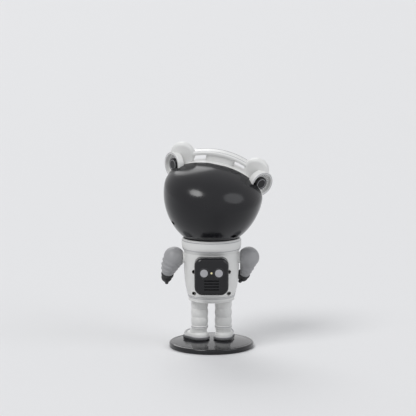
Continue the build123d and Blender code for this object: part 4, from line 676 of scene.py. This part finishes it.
t_link(spaced.outputs[0], placed.inputs["Points"])
t_link(rib_source.outputs["Geometry"], placed.inputs["Instance"])
t_link(stand.outputs[0], placed.inputs["Rotation"])
t_link(placed.outputs[0], real.inputs[0])
t_link(real.outputs[0], dressed.inputs["Geometry"])
t_link(t_in["Finish"], dressed.inputs["Material"])
t_link(dressed.outputs[0], t_out[0])
print("tree", rib_tree.name, "nodes", len(t_nodes))

# %% Small shapes, and their copies


def bar_shape(length, width, height, softness):
    """A bar with rounded edges: length along the line, width across it, height up."""
    shape = bmesh.new()
    bmesh.ops.create_cube(shape, size=1.0)
    bmesh.ops.scale(shape, vec=(length * MM, width * MM, height * MM), verts=shape.verts)
    edges = shape.edges[:]
    bmesh.ops.bevel(shape, geom=edges, offset=softness * MM, segments=2, affect="EDGES", profile=0.5)
    return mesh_from(shape, "bar_shape")


def line_mesh(points, closed):
    """A mesh of edges only, through the points."""
    mesh = bpy.data.meshes.new("line")
    edges = [(number, number + 1) for number in range(len(points) - 1)]
    if closed:
        edges.append((len(points) - 1, 0))
    mesh.from_pydata([tuple(point) for point in points], edges, [])
    return mesh


def copies(points, count, up, shape, slot, closed=False):
    """The mesh of copies of a shape along a line of points, standing along up."""
    pattern = bpy.data.objects.new("pattern", shape)
    scene.collection.objects.link(pattern)
    carrier = bpy.data.objects.new("carrier", line_mesh(points, closed))
    modifier = carrier.modifiers.new("ribs", "NODES")
    modifier.node_group = rib_tree
    modifier[RIB_SOCKETS["Count"]] = count
    modifier[RIB_SOCKETS["Up"]] = tuple(up)
    modifier[RIB_SOCKETS["Rib"]] = pattern
    modifier[RIB_SOCKETS["Finish"]] = FINISHES[slot]
    mesh = mesh_of(carrier)
    bpy.data.objects.remove(pattern)
    return mesh


print("sockets", RIB_SOCKETS)

# %% Barrel knurl
KNURL_COUNT = 44
KNURL_DEPTH = -48.3
KNURL_BAR = (0.9, 0.7, 1.9, 0.2)  # length, width, height, softness

knurl_line = circle(on_head(0, KNURL_DEPTH, face_centre) @ FACING, BARREL_RADIUS)
knurl = copies(knurl_line, KNURL_COUNT, face_way, bar_shape(*KNURL_BAR), "inner_plastic", closed=True)
new_piece("barrel_knurl", knurl, "head", "inner_plastic")
print("knurls", KNURL_COUNT)

# %% [markdown]
# ## Band and ears
# The band is one moulded arch with a raised line along each edge. Each ear's dish has a fine
# raised ring on its rim, a ring of short ribs on its floor and a boss with its own ring. On the
# face side each ear carries a moulded disc. The rings and ribs of a dish run only where they lie
# clear of the head's shell.

# %% Band lines
BAND_DEPTH = -17.0
BAND_WIDTH = 14.0
BAND_RADIUS = 85.0
BAND_REACH = 30.0  # the lines end here, before the ears
BAND_STANDOFF = 11.4
BAND_LINE_INSET = 2.6
BAND_LINE_SINK = 0.12
BAND_STEPS = 40
band_middle = crown + BAND_STANDOFF - BAND_RADIUS


def band_line(depth):
    """Points of an arc along the band's outer face."""
    radius = BAND_RADIUS - BAND_LINE_SINK
    sides = [BAND_REACH * (2 * step / BAND_STEPS - 1) for step in range(BAND_STEPS + 1)]
    return [HEAD @ Vector((side, depth, band_middle + sqrt(radius**2 - side**2))) for side in sides]


edge_lines = [band_line(BAND_DEPTH + way * (BAND_WIDTH / 2 - BAND_LINE_INSET)) for way in (1, -1)]
bead("band_lines", edge_lines, LINE_BEAD, "head", "button_grey", closed=False)
print("band arc middle", round(band_middle, 1))

# %% Where a ring lies clear of the head
HEAD_CAST = 100.0  # rays at the head start this far from its middle
SHELL_CLEARANCE = 0.3
head_surface = surface_of("head_rear", "head_front")
head_middle = HEAD @ Vector((0, 0, widest))


def outside_head(point):
    """Whether a point lies clear of the head's shell."""
    away = point - head_middle
    start = head_middle + away.normalized() * (HEAD_CAST * MM)
    found = landing(head_surface, start, -away)
    return found is None or away.length > (found - head_middle).length + SHELL_CLEARANCE * MM


def outer_run(points):
    """The run of a ring's points that lies outside the head."""
    clear = [outside_head(point) for point in points]
    if all(clear):
        return points + points[:1]
    start = next(number for number in range(len(points)) if clear[number] and not clear[number - 1])
    run = []
    for number in range(start, start + len(points)):
        if not clear[number % len(points)]:
            break
        run.append(points[number % len(points)])
    return run


print("head surface ready")

# %% Ear dishes and inner discs
DISH_INSET = 8.4
DISH_DEPTH = -11.5
DISH_RISE = -13.6
DISH_TURN = 45.0
DISH_RADIUS = 15.2
DISH_HEIGHT = 7.0
DISH_FLOOR = 2.4
DISH_RIM = 2.6
DISH_RIBS = 24
DISH_BAR = (0.7, 3.4, 0.7, 0.2)
PUCK_RADIUS = 7.6
PUCK_HEIGHT = 3.4
PUCK_RING_INSET = 2.2
RING_SINK = 0.05
RIM_BEAD = 0.35
PUCK_BEAD = 0.3
EAR_INSET = 13.2
EAR_RISE = -0.4
EAR_FRONT = -18.5
PAD_RADIUS = 9.4
PAD_SINK = 0.5
PAD_EDGE = 0.25
PAD_BEVEL = 0.5
PAD_BEND = 0.6
PAD_DOME_SHARE = 0.92
PAD_RISE = 0.7

rib_radius = (DISH_RADIUS - DISH_RIM + PUCK_RADIUS) / 2
rib_bar = bar_shape(*DISH_BAR)
pad_profile = [(PAD_RADIUS, -PAD_SINK), (PAD_RADIUS, PAD_EDGE), (PAD_RADIUS - PAD_BEVEL, PAD_BEND)]
pad_profile += dome(PAD_RADIUS * PAD_DOME_SHARE, PAD_BEND, PAD_RISE, (12, 30, 50, 70, 88))


def dish_place(side):
    """The place of one ear's dish, its Z axis out of the bowl."""
    turn = Matrix.Rotation(radians(180 - side * DISH_TURN), 4, "Y")
    return on_head(side * (HEAD_RADIUS - DISH_INSET), DISH_DEPTH, crown + DISH_RISE) @ FACING @ turn


def dish_circle(side, height, radius, count=72):
    """Points of a circle round one dish's axis, where they lie outside the head."""
    return outer_run(circle(dish_place(side) @ Matrix.Translation((0, 0, height)), radius, count))


def dish_ribs(side):
    """The short ribs on one dish's floor."""
    line = dish_circle(side, DISH_FLOOR, rib_radius, DISH_RIBS)
    up = (dish_place(side).to_3x3() @ Vector((0, 0, 1))).normalized()
    return copies(line, len(line), up, rib_bar, "button_grey")


def ear_pad(side):
    """The moulded disc on the face side of one ear."""
    place = on_head(side * (HEAD_RADIUS - EAR_INSET), EAR_FRONT, crown + EAR_RISE) @ FACING
    return turned(pad_profile, place)


rim_height = DISH_HEIGHT - RING_SINK
puck_height = DISH_FLOOR + PUCK_HEIGHT - RING_SINK
rim_lines = [dish_circle(side, rim_height, DISH_RADIUS - DISH_RIM / 2) for side in (1, -1)]
puck_lines = [dish_circle(side, puck_height, PUCK_RADIUS - PUCK_RING_INSET, count=48) for side in (1, -1)]
bead("dish_rings", rim_lines, RIM_BEAD, "head", "button_grey", closed=False)
bead("puck_rings", puck_lines, PUCK_BEAD, "head", "button_grey", closed=False)
new_piece("dish_ribs", joined([dish_ribs(side) for side in (1, -1)]), "head", "button_grey")
new_piece("ear_inner_pads", joined([ear_pad(side) for side in (1, -1)]), "head", "button_grey")
print("rim points shown", [len(line) for line in rim_lines])

# %% [markdown]
# ## Suit lines
# The suit is two torso halves, so a fine dark line runs down each flank, painted shade of the parting groove. A
# rolled hem closes its lower edge, two belt lines run above it, and the collar has two thin rings round its roll.

# %% Torso and collar lines
HEM_HEIGHT = 55.5
TORSO_TOP = 112.0
FLANK_STEPS = 30
FLANK_MARGIN = 0.5
FLANK_SIDE = 31.9  # a ray that lands further out than this has met the shoulder boss
PLANE_OFFSET = 0.05  # beside the parting plane, where no ray slips between the halves
HEM_RISE = 1.1
HEM_BEAD = 0.9
BELT_RISES = (5.0, 6.6)
BELT_BEAD = 0.32
COLLAR_RING_HEIGHTS = (116.6, 126.2)
COLLAR_BEAD = 0.34

torso_surface = surface_of("torso_front", "torso_rear")
collar_surface = surface_of("collar")


def flank_line(side):
    """The parting line down one flank, broken off at the shoulder boss."""
    line = []
    span = TORSO_TOP - HEM_HEIGHT - 2 * FLANK_MARGIN
    for step in range(FLANK_STEPS + 1):
        height = HEM_HEIGHT + FLANK_MARGIN + span * step / FLANK_STEPS
        start = Vector((side * CAST_REACH, PLANE_OFFSET, height)) * MM
        point = landing(torso_surface, start, (-side, 0, 0))
        if point is not None and abs(point.x) < FLANK_SIDE * MM:
            line.append(point - Vector((side * SEAM_SINK * MM, 0, 0)))
    return line


belt_lines = [ring_round(torso_surface, HEM_HEIGHT + rise) for rise in BELT_RISES]
collar_lines = [ring_round(collar_surface, height) for height in COLLAR_RING_HEIGHTS]
# A dark bead down each flank: painted shade of the parting groove between the torso halves.
bead("flank_seams", [flank_line(1), flank_line(-1)], SEAM_BEAD, "base", "inner_plastic", closed=False)
bead("hem_roll", [ring_round(torso_surface, HEM_HEIGHT + HEM_RISE)], HEM_BEAD, "base", "suit_white")
bead("belt_lines", belt_lines, BELT_BEAD, "base", "button_grey")
bead("collar_rings", collar_lines, COLLAR_BEAD, "base", "button_grey")
print("flank points", len(flank_line(1)), len(flank_line(-1)))

# %% [markdown]
# ## Boots
# Each boot has a welt where the upper meets the sole, a double strap over the instep and a ring at
# the cuff, and the sole's side is moulded with short upright treads.

# %% Boot lines and treads
BASE_DOME_TOP = 8.8
PAD_HEIGHT = 0.6
LEG_SPACING = 27.5
TOE_OUT = {1: 40.0, -1: 10.0}
BOOT_NAMES = {1: "left_boot", -1: "right_boot"}
BOOT_LENGTH = 34.0
BOOT_WIDTH = 20.0
BOOT_HEEL = 11.0
BOOT_END_STEPS = 14
SOLE_THICKNESS = 2.2
SOLE_REACH = 0.9
TREAD_COUNT = 46
TREAD_DROP = 0.2
TREAD_BAR = (1.0, 0.7, 1.5, 0.2)
WELT_REACH = 0.05
WELT_RISE = 0.3
WELT_BEAD = 0.45
STRAP_PLACES = (13.0, 15.2)
STRAP_HALF = 9.6
STRAP_STEPS = 24
STRAP_CLEAR = 0.6
STRAP_BEAD = 0.5
CUFF_RISE = 12.3
CUFF_RADIUS = 9.8
CUFF_BEAD = 0.35
sole_bottom = BASE_DOME_TOP + PAD_HEIGHT


def footprint(side):
    """The place under one boot, its X axis along the toe."""
    turn = Matrix.Rotation(radians(-90 + side * TOE_OUT[side]), 4, "Z")
    return on_figure(side * LEG_SPACING / 2, 0, sole_bottom) @ turn


def boot_outline(side, reach, height):
    """Points round the slot-shaped outline of one boot."""
    straight = (BOOT_LENGTH - BOOT_WIDTH) / 2
    middle_x = BOOT_LENGTH / 2 - BOOT_HEEL
    radius = BOOT_WIDTH / 2 + reach
    points = []
    for end in (1, -1):
        for step in range(BOOT_END_STEPS + 1):
            turn = radians(-90 + 180 * step / BOOT_END_STEPS)
            x = middle_x + end * (straight + radius * cos(turn))
            points.append(footprint(side) @ Vector((x, end * radius * sin(turn), height)))
    return points


def boot_treads(side):
    """The treads round one sole."""
    outline = boot_outline(side, SOLE_REACH, SOLE_THICKNESS / 2 - TREAD_DROP)
    return copies(outline, TREAD_COUNT, (0, 0, 1), bar_shape(*TREAD_BAR), "sole_grey", closed=True)


def boot_strap(side, along_toe):
    """One strap line over a boot's instep, from sole to sole."""
    surface = surface_of(BOOT_NAMES[side])
    lowest = (sole_bottom + SOLE_THICKNESS + STRAP_CLEAR) * MM
    strap = []
    for step in range(STRAP_STEPS + 1):
        across = STRAP_HALF * (2 * step / STRAP_STEPS - 1)
        start = footprint(side) @ Vector((along_toe, across, CAST_HEIGHT))
        point = landing(surface, start, (0, 0, -1))
        if point is not None and point.z > lowest:
            strap.append(point)
    return strap


def cuff_ring(side):
    """The ring round one boot's cuff."""
    place = footprint(side) @ Matrix.Translation((0, 0, SOLE_THICKNESS + CUFF_RISE))
    return circle(place, CUFF_RADIUS, count=48)


welts = [boot_outline(side, WELT_REACH, SOLE_THICKNESS + WELT_RISE) for side in (1, -1)]
straps = [boot_strap(side, place) for side in (1, -1) for place in STRAP_PLACES]
new_piece("sole_treads", joined([boot_treads(1), boot_treads(-1)]), "base", "sole_grey")
bead("boot_welts", welts, WELT_BEAD, "base", "button_grey")
bead("boot_straps", straps, STRAP_BEAD, "base", "button_grey", closed=False)
bead("boot_cuff_rings", [cuff_ring(1), cuff_ring(-1)], CUFF_BEAD, "base", "button_grey")
print("treads", 2 * TREAD_COUNT)

# %% [markdown]
# ## Sleeves
# The sleeve is moulded like a padded suit: a round shoulder, then soft folds that gather at the
# elbow. The form is swept along the arm from rings of points, and each ring's radius swells and
# sinks a little, more on one side of the arm than on the other. The folds only sink into the
# plain form and never swell past it, and the sleeve is flat where it meets the shoulder.

# %% Sleeve sizes
SHOULDER_HEIGHT = 105.0
SHOULDER_BALL = 12.4
SLEEVE_FACE = 33.3
BALL_OFFSET = 9.8
SLEEVE_TUCK = 0.6
WRIST_RADIUS = 6.2
ARMS = {
    "left": {"side": 1, "elbow": (5.3, -2.0, -11.0), "elbow_radius": 10.4, "wrist": (7.6, -5.4, -19.4)},
    "right": {"side": -1, "elbow": (2.2, -5.5, -12.0), "elbow_radius": 8.8, "wrist": (4.9, -11.5, -20.5)},
}
FOLDS = 4.5
FOLD_HEIGHT = 0.5
FOLD_EVEN = 0.45  # share of a fold's height that it has all round
FOLD_SLANT = 0.7
FOLD_SINK = FOLD_HEIGHT * (1 + FOLD_EVEN)
GATHER_POWER = 1.5
RING_POINTS = 56
DOME_ROWS = 14
DOME_START = 89.0  # angles of the shoulder dome's first and last rings
DOME_END = 2.0
ARM_ROWS = 60
LOOK_AHEAD = 0.01


def smooth_path(start, middle, end, share):
    """A value on the smooth curve through three, met at shares 0, 0.5 and 1."""
    first = 2 * (share - 0.5) * (share - 1)
    second = 4 * share * (1 - share)
    third = 2 * share * (share - 0.5)
    return start * first + middle * second + end * third


def sleeve_rows(side, elbow, elbow_radius, wrist):
    """Middle, direction, radius and share of the way for each ring, from shoulder top to wrist."""
    shoulder = Vector((side * (SLEEVE_FACE + BALL_OFFSET), 0, SHOULDER_HEIGHT))
    elbow = shoulder + Vector(elbow)
    wrist = shoulder + Vector(wrist)
    down = (elbow - shoulder).normalized()
    rows = []
    for step in range(DOME_ROWS):
        angle = radians(min(DOME_START, 90 - (90 - DOME_END) * step / (DOME_ROWS - 1)))
        rows.append((shoulder - down * SHOULDER_BALL * sin(angle), down, SHOULDER_BALL * cos(angle), 0.0))
    for step in range(1, ARM_ROWS + 1):
        share = step / ARM_ROWS
        middle = smooth_path(shoulder, elbow, wrist, share)
        ahead = smooth_path(shoulder, elbow, wrist, share + LOOK_AHEAD)
        ball = sqrt(max(SHOULDER_BALL**2 - (middle - shoulder).length ** 2, 0))
        radius = smooth_path(SHOULDER_BALL - SLEEVE_TUCK, elbow_radius, WRIST_RADIUS, share)
        rows.append((middle, (ahead - middle).normalized(), max(radius, ball), share))
    return rows


def sleeve_ring(side, middle, way, radius, share):
    """The points of one ring, swelled by the folds and kept off the shoulder."""
    across = Vector((0, 1, 0)).cross(way).normalized()
    other = way.cross(across)
    gather = sin(pi * share) ** GATHER_POWER
    points = []
    for number in range(RING_POINTS):
        turn = 2 * pi * number / RING_POINTS
        one_sided = 0.5 - 0.5 * cos(turn - pi * (side < 0))
        wave = sin(2 * pi * FOLDS * share + FOLD_SLANT * sin(turn))
        swell = FOLD_HEIGHT * gather * (FOLD_EVEN + one_sided) * wave
        reach = radius + swell - FOLD_SINK * gather
        point = middle + across * (reach * cos(turn)) + other * (reach * sin(turn))
        point.x = side * max(side * point.x, SLEEVE_FACE)
        points.append(point * MM)
    return points


for arm, sizes in ARMS.items():
    rings = [sleeve_ring(sizes["side"], *row) for row in sleeve_rows(**sizes)]
    sleeve = new_piece(f"{arm}_folded_sleeve", laid_over(rings), f"arm_{arm}", "sleeve_grey")
    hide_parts(f"{arm}_sleeve")
    print(sleeve.name, "faces", len(sleeve.data.polygons))

# %% [markdown]
# ## Back pack
# The pack carries the two push buttons. Each sits in a raised ring, a small lamp shows between
# them, slanted louvres close the vents, and a fine dark line runs round where its lid ends: painted shade of the
# lid's gap.

# %% Button rings and lamp
PACK_BACK = 43.0
BUTTON_SIDE = 8.5
BUTTON_HEIGHT = 94.0
BUTTON_RING = 5.6
BUTTON_RING_HALF = 0.5
BUTTON_RING_RISE = 0.45
LIGHT_RADIUS = 1.2
LIGHT_SINK = 0.6
LIGHT_EDGE = 0.15
LIGHT_RISE = 0.5


def on_pack(side, height):
    """A place on the pack's back whose Z axis points backward."""
    return on_figure(side, PACK_BACK, height) @ BACKWARD


ring_oval = dome(BUTTON_RING_HALF, 0, BUTTON_RING_RISE, range(0, 360, 30))
ring_section = [(BUTTON_RING + outward, height) for outward, height in ring_oval]
button_places = [on_pack(way * BUTTON_SIDE, BUTTON_HEIGHT) for way in (1, -1)]
button_rings = [turned(ring_section, place, ring=True) for place in button_places]
new_piece("button_rings", joined(button_rings), "base", "inner_plastic")
light_profile = [(LIGHT_RADIUS, -LIGHT_SINK)]
light_profile += dome(LIGHT_RADIUS, LIGHT_EDGE, LIGHT_RISE, (0, 20, 40, 60, 80, 89))
new_piece("status_light", turned(light_profile, on_pack(0, BUTTON_HEIGHT), steps=24), "base", "lamp")
print("button ring radius", BUTTON_RING)

# %% Lid line and louvres
PACK_WIDTH = 39.0
PACK_BOTTOM = 68.0
PACK_HEIGHT = 43.0
PACK_CORNER = 9.0
LID_DEPTH = 34.0
LID_SINK = 0.12
LID_BEAD = 0.26
CORNER_STEPS = 8
VENT_MIDDLE = 80.0
VENT_PITCH = 3.4
VENT_SLOTS = 4
LOUVRE_BAR = (0.5, 15.6, 1.9, 0.15)
LOUVRE_SLANT = 38.0
LOUVRE_DEPTH = 1.5


def lid_line():
    """The rounded rectangle round the pack where its lid ends."""
    middle = PACK_BOTTOM + PACK_HEIGHT / 2
    bend = PACK_CORNER - LID_SINK
    points = []
    for right, top, first in ((1, 1, 0), (-1, 1, 90), (-1, -1, 180), (1, -1, 270)):
        for step in range(CORNER_STEPS + 1):
            turn = radians(first + 90 * step / CORNER_STEPS)
            x = right * (PACK_WIDTH / 2 - PACK_CORNER) + bend * cos(turn)
            z = middle + top * (PACK_HEIGHT / 2 - PACK_CORNER) + bend * sin(turn)
            points.append(Vector((x, LID_DEPTH, z)) * MM)
    return points


# A dark bead round the lid's edge: painted shade of the gap where the lid ends.
bead("pack_lid_line", [lid_line()], LID_BEAD, "base", "inner_plastic")
half_stack = (VENT_SLOTS - 1) / 2 * VENT_PITCH
louvre_ends = [VENT_MIDDLE - half_stack, VENT_MIDDLE + half_stack]
louvre_line = [Vector((0, PACK_BACK - LOUVRE_DEPTH, height)) * MM for height in louvre_ends]
slant = (0, cos(radians(LOUVRE_SLANT)), sin(radians(LOUVRE_SLANT)))
louvres = copies(louvre_line, VENT_SLOTS, slant, bar_shape(*LOUVRE_BAR), "inner_plastic")
new_piece("pack_louvres", louvres, "base", "inner_plastic")
print("louvres", VENT_SLOTS)

# %% [markdown]
# ## Screws
# The shells are held by cross-head screws at the bottom of their bores. One screw is cut once
# with a real cross recess, then copied to each place, standing along its bore.

# %% One cross-head screw
SCREW_RADIUS = 1.1
SCREW_TIP_SHARE = 0.6
SCREW_TIP = 0.6
SCREW_SHANK = 8.0
SCREW_HEAD = 2.3
SCREW_EDGE = 0.55
SCREW_DOME = 0.4
CROSS_HEIGHT = 0.95
CROSS_DEPTH = 0.7
CROSS_SOFTNESS = 0.05
CROSS_BARS = ((2.6, 0.55), (0.55, 2.6))


def with_bar_cut(mesh, length, width):
    """The screw's mesh with one bar of the cross cut out of its head."""
    screw = bpy.data.objects.new("screw", mesh)
    bar = bpy.data.objects.new("bar", bar_shape(length, width, 2 * CROSS_DEPTH, CROSS_SOFTNESS))
    bar.location = (0, 0, CROSS_HEIGHT * MM)
    scene.collection.objects.link(bar)
    cut = screw.modifiers.new("cut", "BOOLEAN")
    cut.operation = "DIFFERENCE"
    cut.solver = "EXACT"
    cut.object = bar
    mesh = mesh_of(screw)
    bpy.data.objects.remove(bar)
    return mesh


screw_profile = [
    (SCREW_RADIUS * SCREW_TIP_SHARE, -SCREW_SHANK),
    (SCREW_RADIUS, -SCREW_SHANK + SCREW_TIP),
    (SCREW_RADIUS, 0.0),
    (SCREW_HEAD, 0.0),
    (SCREW_HEAD, SCREW_EDGE),
]
screw_profile += dome(SCREW_HEAD, SCREW_EDGE, SCREW_DOME, (25, 45, 65, 89))
screw_mesh = turned(screw_profile, SIZES, steps=32)
for bar_length, bar_width in CROSS_BARS:
    screw_mesh = with_bar_cut(screw_mesh, bar_length, bar_width)
print("screw faces", len(screw_mesh.polygons))

# %% Screws in their bores
TORSO_SCREW_SIDE = 20.0
TORSO_SCREW_HEIGHTS = (66.0, 92.0)
HEAD_SCREW_SIDE = 36.0
HEAD_SCREW_RISE = -22.0
SCREW_SEAT = 6.0  # depth of the heads behind the parting plane


def screws(name, node, lines, head_way, body):
    """Screws at both ends of each line, heads along head_way, in place of a node."""
    rows = [copies(line, 2, head_way, screw_mesh, "steel") for line in lines]
    piece = new_piece(name, joined(rows), body, "steel")
    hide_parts(node)


def torso_line(side):
    """The two screw places on one side of the torso."""
    return [Vector((side * TORSO_SCREW_SIDE, SCREW_SEAT, height)) * MM for height in TORSO_SCREW_HEIGHTS]


head_depth = SEAM_DEPTH + SCREW_SEAT
head_line = [HEAD @ Vector((way * HEAD_SCREW_SIDE, head_depth, HEAD_SCREW_RISE)) for way in (1, -1)]
screws("torso_cross_screws", "torso_screws", [torso_line(1), torso_line(-1)], (0, 1, 0), "base")
screws("head_cross_screws", "head_screws", [head_line], -face_way, "head")
print("screws", 2 * len(TORSO_SCREW_HEIGHTS) + len(head_line))

# %% [markdown]
# ## The ripple disc
# What makes the nebula is a clear disc with a rippled relief that turns in front of the lamp.
# The relief is a thin plate whose height follows a few crossing waves; it rides on the disc.

# %% Ripple relief
DISC_SIDE = -15.0
DISC_FRONT = -12.4
RELIEF_RADIUS = 19.0
RELIEF_BORE = 3.2
RELIEF_BASE = 0.25
RELIEF_HEIGHT = 0.5
RELIEF_RINGS = 26
RELIEF_STEPS = 90
# each wave: how fast it goes across and up, how much it bends, and how fast the bend goes
WAVES = (
    (0.9, 0.0, 1.3, (0.0, 0.35)),
    (-0.5, 0.7, 1.1, (0.4, 0.0)),
    (0.6, 0.6, 0.0, (0.0, 0.0)),
)


def ripple_height(x, y):
    """Height of the relief over the disc's face, in millimetres, from crossing waves."""
    total = 0.0
    for across, up, bend, (bend_across, bend_up) in WAVES:
        total += sin(across * x + up * y + bend * sin(bend_across * x + bend_up * y))
    return RELIEF_BASE + RELIEF_HEIGHT * (0.5 + total / (2 * len(WAVES)))


def rippled_circle(place, radius):
    """Points of a circle lifted by the ripples."""
    flat = circle(Matrix.Identity(4), radius, RELIEF_STEPS)
    return [place @ Vector((point.x, point.y, ripple_height(point.x, point.y))) for point in flat]


disc_place = on_head(DISC_SIDE, DISC_FRONT, face_centre) @ FACING
ring_step = (RELIEF_RADIUS - RELIEF_BORE) / RELIEF_RINGS
relief_rows = [rippled_circle(disc_place, RELIEF_BORE + ring_step * ring) for ring in range(RELIEF_RINGS + 1)]
relief_rows += [circle(disc_place, radius, RELIEF_STEPS) for radius in (RELIEF_RADIUS, RELIEF_BORE)]
new_piece("ripple_relief", laid_over(relief_rows, ring=True), "ripple_disc", "clear_lens")
print("relief rows", len(relief_rows))

# %% [markdown]
# ## Base
# The base is a plain glossy disc: one fine ring near its edge keeps the eye on its round form.

# %% Base ring
BASE_RING_RADIUS = 44.5
BASE_RING_SINK = 0.1
BASE_RING_BEAD = 0.3

base_surface = surface_of("base_cover")
ring_sunk = Vector((0, 0, BASE_RING_SINK * MM))
ring_starts = circle(on_figure(0, 0, CAST_HEIGHT), BASE_RING_RADIUS, count=120)
base_ring = [landing(base_surface, start, (0, 0, -1)) - ring_sunk for start in ring_starts]
bead("base_ring", [base_ring], BASE_RING_BEAD, "base", "black_base")
print("base ring points", len(base_ring))
